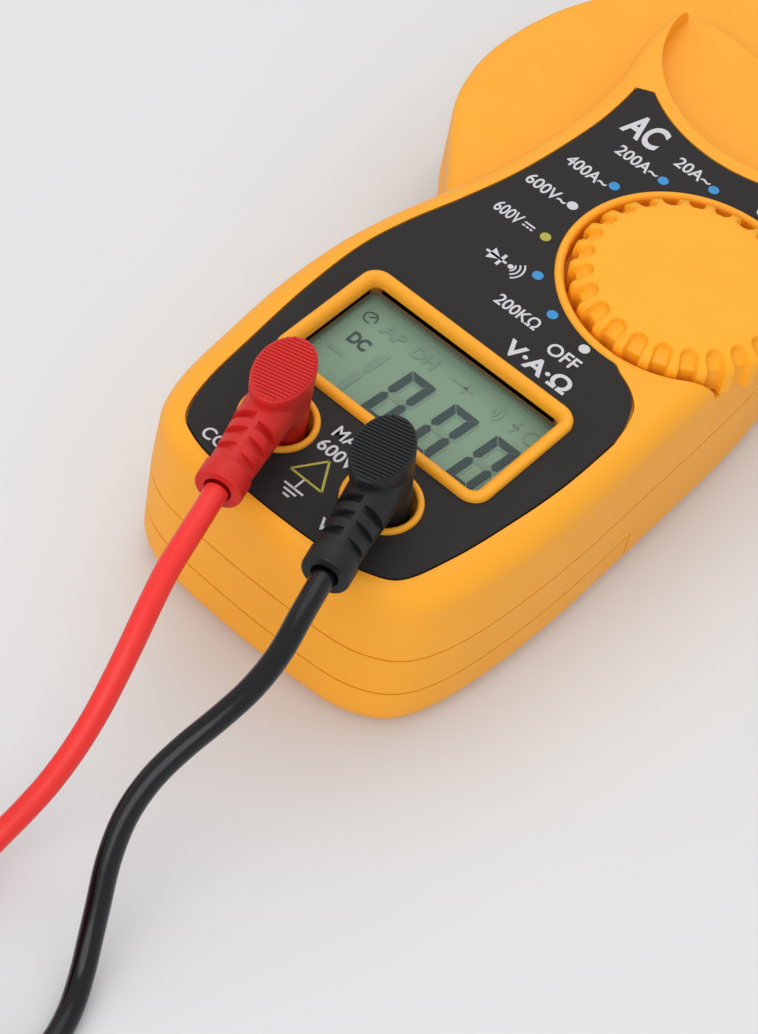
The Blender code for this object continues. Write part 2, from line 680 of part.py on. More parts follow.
def moving_jaw_outline():
    trigger = [
        (-28.6, 65.5), (-32.0, 57.5), (-36.4, 48.5), (-39.8, 39.0), (-41.3, 29.0), (-40.9, 19.5),
        (-38.0, 10.6), (-33.0, 3.4), (-28.2, -2.8), (-26.2, -5.8), (-23.8, -6.9), (-21.8, -5.6), (-20.9, -2.4),
        (-20.4, 8.0), (-19.8, 19.0), (-18.8, 28.0),
    ]
    hub = arc(*PIVOT, HUB_R, 246, 360, 10)
    inner = ellipse_arc(JAW_INNER, 268.8, 91.2, 18)
    outer = ellipse_arc(JAW_OUTER, 90.7, 199, 14)
    return outer + trigger + hub + inner


def jaw_half(outline, front, name, look):
    """One shell of a jaw: rounded towards the front or the back, flat at the middle plane."""
    if front:
        rings = [(0, JAW_MID_Z + SEAM_GAP), (0, JAW_Z[1] - 1.8), (0.55, JAW_Z[1] - 0.5), (1.8, JAW_Z[1])]
    else:
        rings = [(0, JAW_MID_Z - SEAM_GAP), (0, JAW_Z[0] + 1.8), (0.55, JAW_Z[0] + 0.5), (1.8, JAW_Z[0])]
    return loft([at(inset(outline, d), z) for d, z in rings], name, look)


def channel(side, margin, start, end, z0, z1, name="channel", look=None):
    """A stretch of the ring between the jaw's walls; side is 1 on the right and -1 on the left."""
    outer = ellipse_arc(JAW_OUTER, start, end, 14, -margin)
    inner = ellipse_arc(JAW_INNER, end, start, 14, margin)
    return prism([(side * x, y) for x, y in outer + inner], z0, z1, name, look)


def split_side(item, side, x):
    cut_by_plane(item, (side * x, 0, 0), (-side, 0, 0))


def jaws(looks):
    low, high = JAW_Z
    for side, label, outline in ((1, "fixed", fixed_jaw_outline()), (-1, "moving", moving_jaw_outline())):
        core = channel(side, 2.3, -89.5, 89.5, low + 2.3, high - 2.3, f"{label}_jaw_core", looks["ferrite"])
        split_side(core, side, SPLIT_X + 0.2)
        for front in (True, False):
            name = f"{label}_jaw_{'front' if front else 'rear'}"
            half = jaw_half(outline, front, name, looks["shell"])
            z0, z1 = (JAW_MID_Z - 2, high - 2.0) if front else (low + 2.0, JAW_MID_Z + 2)
            cut(half, channel(side, 2.0, -96, 96, z0, z1))
            if side > 0:
                fixed_jaw_details(half, front, z0, z1)
            else:
                moving_jaw_details(half, front, z0, z1)
    coil_low, coil_high = low + 1.5, high - 1.5
    coil = channel(1, 1.1, -80, -42, coil_low, coil_high, "current_coil", looks["copper"])
    cut(coil, channel(1, 2.0, -95, -30, low + 2.0, high - 2.0))


def fixed_jaw_details(half, front, z0, z1):
    x, y = FIXED_SCREW
    depth = (z0, JAW_Z[1] - 1.2) if front else (JAW_Z[0] + 1.2, z1)
    cut(half, channel(1, 0.8, -84, -38, *depth))
    pocket = arc(0, BOSS_Y - 0.5, ROOT_R - 2.4, -83, -20, 8) + [(15.5, 45.6), (2.3, 45.6)]
    cut(half, prism(pocket, z0, z1))
    jaw_screw_post(half, front, x, y)


def moving_jaw_details(half, front, z0, z1):
    hollow = smooth(
        [(-30.0, 55.0), (-36.2, 43.0), (-38.8, 30.0), (-38.4, 20.0), (-35.6, 11.8), (-29.6, 3.2), (-25.4, -2.2),
         (-23.0, 2.0), (-22.6, 14.0), (-22.0, 25.0), (-26.0, 33.0), (-28.4, 44.0)], 2)
    cut(half, prism(hollow, z0, z1))
    cut(half, disc(*PIVOT, PIN_R + GAP, 0, 40, 20))
    if not front:
        cut(half, disc(*PIVOT, 7.2, 0, JAW_Z[0] + 6.4, 28))
    jaw_screw_post(half, front, *MOVING_SCREW)


def jaw_screw_post(half, front, x, y):
    if front:
        join(half, disc(x, y, SCREW_POST_R, JAW_MID_Z + SEAM_GAP, JAW_Z[1] - 1.5, 16))
        cut(half, disc(x, y, SCREW_HOLE_R, 10, 21.2, 12))
    else:
        join(half, disc(x, y, 4.2, JAW_Z[0] + 1.5, JAW_MID_Z - SEAM_GAP, 16))
        cut(half, disc(x, y, SCREW_HEAD_HOLE_R, 0, JAW_Z[0] + 3.2, 16), disc(x, y, SCREW_HOLE_R, 0, 20, 12))


def pivot(looks):
    disc(*PIVOT, PIN_R, 3.8, 25.7, 20, "jaw_pivot_pin", looks["steel"])
    x, y = PIVOT
    turns, per_turn, r = 3, 16, 4.9
    base = JAW_Z[0] + 1.0
    coil = [
        (x + r * math.cos(math.tau * i / per_turn), y + r * math.sin(math.tau * i / per_turn),
         base + 1.35 * i / per_turn)
        for i in range(turns * per_turn + 1)
    ]
    tail = [(x + r + 1.0, y - 0.6, base - 0.2)]
    tube(tail + coil, 0.5, 6, "jaw_spring", looks["steel"])


# ---------------------------------------------------------------- leads


def plug(colour, x, looks):
    """Right-angled moulded plug with its strain relief, standing in a jack."""
    look = looks[f"{colour}_lead"]
    ahead = Vector((math.sin(LEAD_TURN), -math.cos(LEAD_TURN), 0))
    side = Vector((math.cos(LEAD_TURN), math.sin(LEAD_TURN), 0))
    centre = Vector((x, JACK_Y, 0))

    def oval(z, width, length, shift=0.0):
        ring = []
        for k in range(24):
            angle = math.tau * k / 24
            aside = PLUG_TILT[colour] * (z - PLUG_FOOT_Z) / (PLUG_TOP_Z - PLUG_FOOT_Z)
            p = centre + ahead * (shift + length * math.sin(angle)) + side * (aside + width * math.cos(angle))
            ring.append((p.x, p.y, z))
        return ring

    body = loft(
        [
            oval(PLUG_FOOT_Z, 3.9, 4.0), oval(34.0, 4.05, 4.9, 0.4), oval(38.5, 4.15, 5.9, 1.0),
            oval(42.2, 4.2, 6.4, PLUG_LEAN), oval(PLUG_TOP_Z, 3.8, 6.0, PLUG_LEAN),
        ],
        f"plug_{colour}", look)
    join(body, disc(x, JACK_Y, PLUG_STEM_R, 24.8, 33.0, 24))
    relief = [(0.5, 3.6), (6.0, 3.7), (12.0, 3.4), (17.4, 3.1), (17.6, 3.5), (RELIEF_LENGTH - 0.3, 3.5),
              (RELIEF_LENGTH, 3.2)]
    join(body, along_axis((x, JACK_Y, RELIEF_Z), ahead, relief, 20))
    cut(body, disc(x, JACK_Y, SOCKET_BORE_R, 10, 32.6, 20))
    turned(x, JACK_Y, [(1.0, 14.8), (2.0, 16.2), (2.0, 32.3)], 20, f"plug_pin_{colour}", looks["brass"])


def route_points(route, spacing):
    """Evenly spaced points on one smooth curve through a route."""
    ends = [route[0]] + list(route) + [route[-1]]
    fine = []
    for i in range(len(route) - 1):
        p0, p1, p2, p3 = (Vector(ends[i + k]) for k in range(4))
        fine += [spline_point(p0, p1, p2, p3, j / 12) for j in range(12)]
    fine.append(Vector(route[-1]))
    steps = [0.0]
    for a, b in zip(fine, fine[1:]):
        steps.append(steps[-1] + (b - a).length)
    count = max(2, round(steps[-1] / spacing))
    points, k = [], 0
    for i in range(count + 1):
        want = steps[-1] * i / count
        while k < len(steps) - 2 and steps[k + 1] < want:
            k += 1
        share = (want - steps[k]) / (steps[k + 1] - steps[k])
        points.append(fine[k].lerp(fine[k + 1], share))
    return points


def cord(name, route, look):
    """A free stretch of lead."""
    curve = bpy.data.curves.new(name, "CURVE")
    curve.dimensions = "3D"
    curve.bevel_depth = LEAD_R * MM
    curve.bevel_resolution = 2
    curve.use_fill_caps = True
    points = route_points(route, 5.0 * LEAD_R)
    spline = curve.splines.new("POLY")
    spline.points.add(len(points) - 1)
    for slot, point in zip(spline.points, points):
        slot.co = (*(point * MM), 1)
    curve.materials.append(look)
    put_in_scene(name, curve)


def coil_solid(colour, base, looks):
    """Outer shape of a put-away coil: a ring of rectangular section with broken corners."""
    half = 1.5 * 2 * LEAD_R
    low, high = base, base + COIL_HEIGHT
    section = [
        (COIL_R - half, low + 1), (COIL_R - half + 1, low), (COIL_R + half - 1, low), (COIL_R + half, low + 1),
        (COIL_R + half, high - 1), (COIL_R + half - 1, high), (COIL_R - half + 1, high), (COIL_R - half, high - 1),
    ]
    shape = bmesh.new()
    count = 40
    loops = [[shape.verts.new((*p, z)) for p in circle(*COIL_CENTRE, r, count)] for r, z in section]
    for k, loop in enumerate(loops):
        nxt = loops[(k + 1) % len(loops)]
        for i in range(count):
            j = (i + 1) % count
            shape.faces.new((loop[i], loop[j], nxt[j], nxt[i]))
    place(f"coil_{colour}", shape, looks[f"{colour}_lead"])


def coil_tie(looks):
    """Flat strap round both coils."""
    half = 1.5 * 2 * LEAD_R
    top = COIL_BASE_Z + COIL_PITCH_Z + COIL_HEIGHT
    r0, r1 = COIL_R - half - GAP, COIL_R + half + GAP
    z0, z1 = COIL_BASE_Z - GAP, top + GAP
    thick, wide = 0.6, 5.0
    strap = box(r0 - thick, -wide / 2, z0 - thick, r1 + thick, wide / 2, z1 + thick, "coil_tie", looks["rubber"])
    cut(strap, box(r0, -wide, z0, r1, wide, z1))
    turn = Matrix.Rotation(math.radians(80), 4, "Z")
    shift = Matrix.Translation(Vector((*COIL_CENTRE, 0)) * MM)
    strap.data.transform(shift @ turn)


def probe(colour, looks):
    """Hand-held probe with a pointed metal tip, lying on the table."""
    x, y = PROBES[colour]
    profile = [(0.3, 2.9), (9.0, 3.5), (12.0, 4.6), (30.0, 5.2), (58.0, 4.9), (60.0, 5.5), (62.0, 5.5), (64.0, 4.4),
               (PROBE_LENGTH, 2.8)]
    body = along_axis((x, y, PROBE_Z), (0, 1, 0), profile, 20, f"probe_{colour}", looks[f"{colour}_lead"])
    bore = along_axis((x, y, PROBE_Z), (0, 1, 0), [(70.0, 1.3), (PROBE_LENGTH + 2, 1.3)], 12)
    cut(body, bore)
    tip = [(70.3, 1.0), (PROBE_LENGTH + PROBE_TIP - 4, 1.0), (PROBE_LENGTH + PROBE_TIP, 0.2)]
    along_axis((x, y, PROBE_Z), (0, 1, 0), tip, 12, f"probe_tip_{colour}", looks["steel"])


def leads(looks):
    routes = {"red": (RED_ROUTE, RED_TAIL, -JACK_X), "black": (BLACK_ROUTE, BLACK_TAIL, JACK_X)}
    for tier, (colour, (route, tail, x)) in enumerate(routes.items()):
        plug(colour, x, looks)
        cord(f"cord_{colour}", route, looks[f"{colour}_lead"])
        coil_solid(colour, COIL_BASE_Z + tier * COIL_PITCH_Z, looks)
        cord(f"cord_{colour}_end", tail, looks[f"{colour}_lead"])
        probe(colour, looks)
    coil_tie(looks)


# ---------------------------------------------------------------- assembly


def shade_round():
    for item in bpy.data.objects:
        if item.type == "MESH":
            item.data.shade_smooth()
            item.data.set_sharp_from_angle(angle=math.radians(35))


def main():
    for item in list(bpy.data.objects):
        bpy.data.objects.remove(item)
    looks = make_looks()
    front_cover(looks)
    rear_cover(looks)
    battery_cover(looks)
    panel_label(looks)
    display(looks)
    board(looks)
    dial(looks)
    hold_button(looks)
    batteries(looks)
    jaws(looks)
    pivot(looks)
    screws(looks)
    leads(looks)
    shade_round()


main()
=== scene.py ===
"""Looks of the clamp meter and its test leads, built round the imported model.

Lengths are millimetres until a mesh or curve is made, when MM turns them into metres. The origin is
on the flat back of the case, +Z comes out of the front panel and +Y runs towards the jaws.
"""

import json
import math

import bmesh
import bpy
from mathutils import Matrix, Vector
from mathutils.geometry import tessellate_polygon

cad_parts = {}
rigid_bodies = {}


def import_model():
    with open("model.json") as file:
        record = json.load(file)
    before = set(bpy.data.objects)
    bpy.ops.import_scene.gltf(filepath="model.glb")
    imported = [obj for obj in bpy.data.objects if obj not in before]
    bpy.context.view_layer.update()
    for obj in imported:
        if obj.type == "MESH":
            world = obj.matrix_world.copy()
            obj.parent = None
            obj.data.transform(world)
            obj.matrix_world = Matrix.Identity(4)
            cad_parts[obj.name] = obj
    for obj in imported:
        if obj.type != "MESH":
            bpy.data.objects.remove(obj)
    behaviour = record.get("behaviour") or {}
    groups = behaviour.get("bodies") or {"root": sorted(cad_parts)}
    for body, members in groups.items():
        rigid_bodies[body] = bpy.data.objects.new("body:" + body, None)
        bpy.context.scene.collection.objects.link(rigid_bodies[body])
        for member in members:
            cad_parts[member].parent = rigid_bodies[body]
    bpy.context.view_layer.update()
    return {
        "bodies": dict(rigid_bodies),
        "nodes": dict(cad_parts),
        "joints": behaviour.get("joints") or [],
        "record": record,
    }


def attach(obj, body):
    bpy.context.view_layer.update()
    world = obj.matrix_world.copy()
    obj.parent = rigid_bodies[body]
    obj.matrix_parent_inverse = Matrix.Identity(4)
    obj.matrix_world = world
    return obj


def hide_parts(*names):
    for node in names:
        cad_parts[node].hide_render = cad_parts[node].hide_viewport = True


MM = 0.001
GAP = 0.3

# Camera and floor
CAMERA_AT = (142.1, -279.7, 347.7)
CAMERA_TURN = (37.73, -7.94, 41.27)  # degrees about X, Y, Z
CAMERA_LENS = 104.4
CAMERA_SHIFT = -0.0076
FLOOR_SIZE = 3000.0
LIGHT_AIM = (0, -40, 20)
GRAIN_DEPTH = 0.02

# Case
SEAM_Z = 17.0
FACE_Z = 30.5
WALL = 1.9
EDGE = 0.3  # rounding of the shells' edges
THROUGH = (20, 40)  # lower and upper end of a cutter that goes through the front panel
RECESS_TOP = 40
SCREW_HOLE_R = 1.5
SCREW_HEAD_HOLE_R = 3.1
COVER_SEAM_Z = 9.0
COVER_END_Y = -25.7
SEAM_GAP = 0.15  # half the gap at a seam
CASE_STEPS = 8  # curve points between two points of the outline

# Outline of the case, pair by pair: at the seam, and where the front panel's flat begins
CASE_OUTLINE = [
    ((0, -77.2), (0, -75.2)),
    ((12, -76.8), (10.5, -74.7)),
    ((18.9, -75.6), (16.2, -73.5)),
    ((24.2, -72.2), (20.4, -70.8)),
    ((27.2, -66), (22.6, -63.8)),
    ((28.9, -56), (24.1, -55)),
    ((29.7, -42), (25.4, -42)),
    ((29.5, -26), (25.3, -27)),
    ((29.1, -10), (24.8, -11)),
    ((28.6, 2), (24.4, 1)),
    ((27.5, 12), (23.4, 11.5)),
    ((26.2, 22), (22.2, 22)),
    ((25.4, 32), (21.4, 32)),
    ((25.4, 41), (21.6, 40.5)),
    ((24.2, 48.6), (21.2, 46.6)),
    ((19, 52.2), (17.5, 50.2)),
    ((10, 51.8), (10, 49.8)),
    ((0, 51.5), (0, 49.5)),
    ((-10, 51.8), (-10, 49.8)),
    ((-19, 52.2), (-17.5, 50.2)),
    ((-24.2, 48.6), (-21.2, 46.6)),
    ((-24.2, 40), (-20.6, 39.5)),
    ((-22.0, 30), (-17.6, 30)),
    ((-20.9, 20), (-16.4, 20)),
    ((-21.1, 10), (-16.7, 10)),
    ((-22.3, -1), (-17.9, -1)),
    ((-24.6, -11.5), (-20.0, -11)),
    ((-26.8, -21.5), (-22.4, -20.5)),
    ((-28.1, -31), (-23.8, -30)),
    ((-28.5, -42), (-23.6, -42)),
    ((-27.6, -54), (-22.5, -54)),
    ((-26.2, -65), (-21.3, -64.5)),
    ((-23.4, -72.0), (-19.2, -71.2)),
    ((-18.4, -75.6), (-15.6, -73.6)),
    ((-11.5, -76.8), (-10, -74.7)),
]
CASE_SCREWS = [(-21.2, -61.0, 9.6), (21.6, -61.0, 9.6), (20.4, 25.0, 2.9), (-20.4, -19.5, 2.9)]
COVER_SCREW = (17.6, -40.0)
HOLD_BUTTON = (15.6, 24.6)
HOLD_R = 2.6
BEZEL = (-19.5, -54.4, 19.5, -31.1)
BEZEL_R = 3.0
WINDOW = (-17.4, -52.4, 17.4, -33.0)
WINDOW_R = 1.2
# lower and upper end of the ring of painted shade that lines the window's wall under the bezel
PAINTED_SHADE_Z = (27.05, 29.6)

# Dial
DIAL_X = 13.9
DIAL_R = 17.2
DIAL_TOP_Z = 33.4
DIAL_BOTTOM_Z = 26.7
DIAL_WELL_R = 17.9
DIAL_WELL_Z = 26.3
DIAL_RIM = 1.4
DIAL_SHAFT_HOLE_R = 4.6
DIAL_GROOVES = 25
DIAL_TURN = math.radians(6.3)
GROOVE_DEPTH = 1.0
GROOVE_HALF = 1.3
GROOVE_START = 14.1  # distance of the grooves' round ends from the dial's axis

# Jaws
JAW_Y = 80.0
JAW_INNER = (15.0, 20.0)
JAW_OUTER = (27.5, 32.5)
JAW_Z = (7.5, 24.5)
JAW_MID_Z = 16.0
BOSS_Y = 49.5
BOSS_R = 25.0
BOSS_STEP_R = 22.8
BOSS_TOP_Z = 26.7
BOSS_RIB_TOP_Z = 29.2
ROOT_R = 20.5
PIVOT = (-12.5, 43.5)
HUB_R = 12.2
PIN_R = 2.0
FIXED_SCREW = (12.0, 38.0)
MOVING_SCREW = (-31.5, 22.0)

# Jacks and leads
JACK_X = 9.55
JACK_Y = -62.7
JACK_HOLE_R = 4.9
JACK_RING_R = 5.9
LEAD_R = 1.7
LEAD_TURN = math.radians(17)
RELIEF_LENGTH = 20.5
RELIEF_Z = 37.5
PLUG_STEM_R = 4.0
PLUG_FOOT_Z = 31.4
PLUG_TOP_Z = 43.0
PLUG_LEAN = 1.2  # how far the oval head sits ahead of the jack
PLUG_TILT = {"red": 0.0, "black": -1.1}  # how far the top of the head sits to the side
PLUG_RIBS = 20

RED_ROUTE = [
    (-3.47, -82.59, 37.5), (-1.6, -88.8, 37.0), (-0.1, -94.9, 35.3), (1.3, -99.5, 33.1),
    (2.6, -103.8, 30.2), (3.6, -107.8, 26.9), (4.3, -111.7, 23.2), (4.5, -115.5, 19.3),
    (4.2, -119.3, 15.2), (3.4, -123.1, 11.2), (2.5, -126.6, 7.8), (1.8, -131.0, 4.4),
    (1.9, -136.0, 2.4), (3.4, -142.0, 1.75), (6.6, -148.5, 1.75), (11.0, -154.5, 1.8),
]
BLACK_ROUTE = [
    (15.63, -82.59, 37.5), (17.4, -88.6, 36.8), (18.9, -94.2, 35.0), (19.3, -99.5, 33.0),
    (18.6, -104.6, 30.6), (17.4, -109.6, 27.7), (16.5, -114.1, 24.2), (16.5, -118.3, 20.0),
    (17.7, -122.2, 15.1), (19.6, -125.6, 9.9), (21.2, -128.4, 6.2), (23.2, -131.8, 3.3),
    (25.3, -136.0, 1.95), (26.8, -141.0, 1.75), (27.0, -147.0, 2.4), (25.0, -154.0, 4.9),
    (21.3, -160.5, 7.8), (17.2, -165.8, 9.4),
]
RED_TAIL = [
    (-17.5, -195.6, 5.4), (-24.0, -201.0, 3.2), (-32.5, -208.5, 1.8), (-42.5, -212.8, 1.75),
    (-51.5, -211.8, 2.0), (-57.4, -208.6, 4.0), (-59.0, -203.8, 5.6), (-59.0, -200.3, 5.6),
]
BLACK_TAIL = [
    (-20.5, -193.4, 12.2), (-26.5, -197.0, 8.8), (-32.0, -200.6, 5.2), (-38.0, -203.4, 2.8),
    (-43.8, -202.2, 4.2), (-46.0, -197.8, 5.6), (-46.0, -194.3, 5.6),
]
COIL_CENTRE = (-12.0, -168.0)
COIL_R = 19.0
COIL_HEIGHT = 6.65
BLACK_COIL_Z = 7.9
# Each colour: jack, route, tail, coil base, angle where the coil begins, start radius, exit hump
LEADS = {
    "red": (-JACK_X, RED_ROUTE, RED_TAIL, 0.95, 30.4, 26.7, 4.25, (-80, 23.6, 6.3)),
    "black": (JACK_X, BLACK_ROUTE, BLACK_TAIL, BLACK_COIL_Z, -30.0, 22.4, 4.125, (-92, 23.4, 13.3)),
}
PROBES = {"red": (-59.0, -199.9), "black": (-46.0, -193.9)}
PROBE_Z = 5.6
PROBE_LENGTH = 80.0

# Printing on the panel: text, left end, right end, foot and height of the capitals
PRINT_Z = FACE_Z + 0.02
PRINT_DEPTH = 0.05
PANEL_TEXT = [
    ("200KΩ", -3.6, 4.1, -23.3, 2.4),
    ("600V", -15.6, -10.9, -9.2, 2.4),
    ("600V~", -16.0, -8.7, -1.2, 2.4),
    ("400A~", -14.4, -6.9, 6.4, 2.4),
    ("200A~", -10.6, -2.9, 13.9, 2.4),
    ("20A~", -2.9, 3.6, 18.8, 2.4),
    ("OFF", 7.5, 12.8, -25.0, 2.5),
    ("V·A·Ω", 3.0, 14.6, -29.6, 3.3),
    ("AC", -13.2, -6.6, 18.4, 5.4),
    ("MAX", -2.9, 2.9, -59.2, 2.3),
    ("600V", -3.0, 3.2, -62.4, 2.3),
    ("COM", -15.2, -9.2, -72.6, 2.2),
    ("VΩ", 6.0, 10.4, -72.6, 2.2),
]
BOLD_TEXT = ("V·A·Ω", "AC")
BLUE_DOTS = [(4.0, -18.8), (-2.3, -14.5), (-6.0, 8.3), (-1.7, 14.9), (4.7, 19.3)]
WHITE_DOTS = [(11.3, -20.4), (-7.7, 0.3), (12.6, 21.2)]
OLIVE_DOT = (-6.4, -7.7)
DOT_R = 0.85

# Display: heights of its layers, left foot of each digit, their size and lean
LCD_Z = 26.93
LIT_Z = LCD_Z + 0.12
LETTER_Z = LCD_Z + 0.1
FAINT_Z = LCD_Z + 0.06
SHADE_Z = LCD_Z + 0.03
FILM = 0.02
BAR = 1.3
DIGITS_X = [-5.2, 2.9, 10.7]
DIGIT_Y = -50.6
DIGIT_WIDTH = 4.6
DIGIT_HEIGHT = 11.2
DIGIT_LEAN = 0.08


# -------- mesh helpers


def blank():
    return bmesh.new()


def add_object(name, data):
    item = bpy.data.objects.new(name, data)
    bpy.context.scene.collection.objects.link(item)
    return item


def made(name, shape):
    """The mesh of a bmesh, which is used up."""
    mesh = bpy.data.meshes.new(name)
    shape.to_mesh(mesh)
    shape.free()
    return mesh


def evaluated(item):
    """The mesh of an object as its modifiers or its curve make it."""
    state = bpy.context.evaluated_depsgraph_get()
    state.update()
    return bpy.data.meshes.new_from_object(item.evaluated_get(state))


def publish(name, shape, look, body, replaced=(), sharp=35.0):
    """Turns a bmesh in millimetres into a piece that rides on a body."""
    bmesh.ops.recalc_face_normals(shape, faces=shape.faces)
    bmesh.ops.scale(shape, vec=(MM, MM, MM), verts=shape.verts)
    mesh = made(name, shape)
    mesh.materials.append(look)
    mesh.shade_smooth()
    mesh.set_sharp_from_angle(angle=math.radians(sharp))
    piece = add_object(name, mesh)
    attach(piece, body)
    if replaced:
        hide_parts(*replaced)
    return piece


def solid(shape):
    """A bare object for a Boolean, in millimetres."""
    bmesh.ops.recalc_face_normals(shape, faces=shape.faces)
    return add_object("work", made("work", shape))


def combine(target, tool, operation):
    step = target.modifiers.new("step", "BOOLEAN")
    step.object = tool
    step.operation = operation
    step.solver = "EXACT"
    result = evaluated(target)
    target.modifiers.clear()
    target.data = result
    bpy.data.objects.remove(tool)


def cut(target, *tools):
    for tool in tools:
        combine(target, solid(tool), "DIFFERENCE")


def join(target, *tools):
    for tool in tools:
        combine(target, solid(tool), "UNION")


def taken(work):
    """The bmesh of a bare object, which is used up."""
    shape = bmesh.new()
    shape.from_mesh(work.data)
    bpy.data.objects.remove(work)
    bmesh.ops.remove_doubles(shape, verts=shape.verts, dist=1e-4)
    return shape


def soften(piece, width, segments=3, angle=40.0):
    """Rounds the sharp edges of a piece."""
    step = piece.modifiers.new("rounded_edges", "BEVEL")
    step.width = width * MM
    step.segments = segments
    step.limit_method = "ANGLE"
    step.angle_limit = math.radians(angle)
    step.use_clamp_overlap = True
    step.harden_normals = True
    return piece


def add_loft(shape, rings, capped=True, closed=False):
    """Adds a skin through rings of equal point count."""
    loops = [[shape.verts.new(point) for point in ring] for ring in rings]
    count = len(loops[0])
    pairs = list(zip(loops, loops[1:]))
    if closed:
        pairs.append((loops[-1], loops[0]))
    for low, high in pairs:
        for i in range(count):
            j = (i + 1) % count
            shape.faces.new((low[i], low[j], high[j], high[i]))
    if capped and not closed:
        shape.faces.new(loops[0])
        shape.faces.new(loops[-1])
        fill_caps(shape)
    return shape


def fill_caps(shape):
    shape.normal_update()
    caps = [f for f in shape.faces if len(f.verts) > 4]
    bmesh.ops.triangulate(shape, faces=caps, ngon_method="EAR_CLIP")


def add_plate(shape, rings):
    """Adds a skin through level rings, with end caps that stay sound where the outline bends back."""
    add_loft(shape, rings, capped=False)
    shape.verts.ensure_lookup_table()
    last = len(shape.verts) - len(rings[-1])
    for start, ring in ((0, rings[0]), (last, rings[-1])):
        for triangle in tessellate_polygon([[Vector(point) for point in ring]]):
            shape.faces.new([shape.verts[start + k] for k in triangle])
    return shape


def at(outline, z):
    return [(x, y, z) for x, y in outline]


def prism(outline, z0, z1):
    return add_loft(blank(), [at(outline, z0), at(outline, z1)])


def box(x0, y0, z0, x1, y1, z1):
    return prism([(x0, y0), (x1, y0), (x1, y1), (x0, y1)], z0, z1)


def circle(x, y, r, count=48):
    turn = math.tau / count
    return [(x + r * math.cos(i * turn), y + r * math.sin(i * turn)) for i in range(count)]


def disc(x, y, r, z0, z1, count=48):
    return prism(circle(x, y, r, count), z0, z1)


def add_turned(shape, x, y, profile, count=64, closed=False):
    """A solid of revolution about a vertical axis, from (radius, z) pairs."""
    return add_loft(shape, [at(circle(x, y, r, count), z) for r, z in profile], closed=closed)


def arc(x, y, r, start, end, count):
    angles = [math.radians(start + (end - start) * i / count) for i in range(count + 1)]
    return [(x + r * math.cos(a), y + r * math.sin(a)) for a in angles]


def ellipse_arc(half_axes, start, end, count):
    """An arc of an oval about the jaws' centre."""
    return [(x * half_axes[0], JAW_Y + y * half_axes[1]) for x, y in arc(0, 0, 1, start, end, count)]


def rounded_box(x0, y0, x1, y1, r, count=8):
    return (
        arc(x1 - r, y0 + r, r, -90, 0, count)
        + arc(x1 - r, y1 - r, r, 0, 90, count)
        + arc(x0 + r, y1 - r, r, 90, 180, count)
        + arc(x0 + r, y0 + r, r, 180, 270, count)
    )


def spline_point(p0, p1, p2, p3, t):
    return 0.5 * (
        2 * p1 + (p2 - p0) * t + (2 * p0 - 5 * p1 + 4 * p2 - p3) * t**2 + (3 * p1 - p0 - 3 * p2 + p3) * t**3
    )


def smooth(points, steps):
    """A closed Catmull-Rom curve through 2D points."""
    count = len(points)
    result = []
    for i in range(count):
        p0, p1, p2, p3 = (Vector(points[(i + k) % count]) for k in (-1, 0, 1, 2))
        result += [tuple(spline_point(p0, p1, p2, p3, j / steps)) for j in range(steps)]
    return result


def inset(outline, distance):
    """Moves a counter-clockwise outline inwards by a distance."""
    count = len(outline)
    result = []
    for i in range(count):
        here = Vector(outline[i])
        before = (here - Vector(outline[i - 1])).normalized()
        after = (Vector(outline[(i + 1) % count]) - here).normalized()
        normal = Vector((-(before.y + after.y), before.x + after.x)).normalized()
        lean = max(0.5, normal.dot(Vector((-before.y, before.x))))
        result.append(tuple(here + normal * distance / lean))
    return result


def case_ring(share, distance=0.0):
    mixed = [
        (s[0] + (t[0] - s[0]) * share, s[1] + (t[1] - s[1]) * share) for s, t in CASE_OUTLINE
    ]
    return inset(smooth(mixed, CASE_STEPS), distance)


def tray(outer, inner):
    """Outer skin, rim and inner skin as one closed body. Rings are (outline, z)."""
    shape = blank()
    loops = [[shape.verts.new(point) for point in at(ring, z)] for ring, z in outer + inner]
    count = len(loops[0])
    split = len(outer)
    pairs = [(k, k + 1) for k in range(len(loops) - 1) if k != split - 1]
    pairs.append((len(loops) - 1, 0))
    for a, b in pairs:
        for i in range(count):
            j = (i + 1) % count
            shape.faces.new((loops[a][i], loops[a][j], loops[b][j], loops[b][i]))
    shape.faces.new(loops[split - 1])
    shape.faces.new(loops[split])
    fill_caps(shape)
    return shape


def add_spindle(shape, origin, direction, profile, count=40):
    """Round rings along a level axis, from (distance, radius) pairs."""
    ahead = Vector(direction).normalized()
    up = Vector((0, 0, 1))
    side = up.cross(ahead).normalized()
    rings = []
    for distance, r in profile:
        centre = Vector(origin) + ahead * distance
        turn = [math.tau * k / count for k in range(count)]
        rings.append([tuple(centre + side * r * math.cos(a) + up * r * math.sin(a)) for a in turn])
    return add_loft(shape, rings)


# -------- materials


def link(tree, a, out, b, into):
    tree.links.new(a.outputs[out], b.inputs[into])


def shader_of(look):
    return look.node_tree.nodes["Principled BSDF"]


def material(name, colour, roughness=0.45, metallic=0.0):
    """A Principled material of one colour and gloss."""
    look = bpy.data.materials.new(name)
    look.use_nodes = True
    shader = shader_of(look)
    shader.inputs["Base Color"].default_value = (*colour, 1)
    shader.inputs["Roughness"].default_value = roughness
    shader.inputs["Metallic"].default_value = metallic
    return look


def add_noise(look, scale, detail=3.0):
    """Noise in the part's own metres, so its scale is in cells per metre."""
    tree = look.node_tree
    place = tree.nodes.get("place") or tree.nodes.new("ShaderNodeTexCoord")
    place.name = "place"
    noise = tree.nodes.new("ShaderNodeTexNoise")
    noise.inputs["Scale"].default_value = scale
    noise.inputs["Detail"].default_value = detail
    link(tree, place, "Object", noise, "Vector")
    return noise


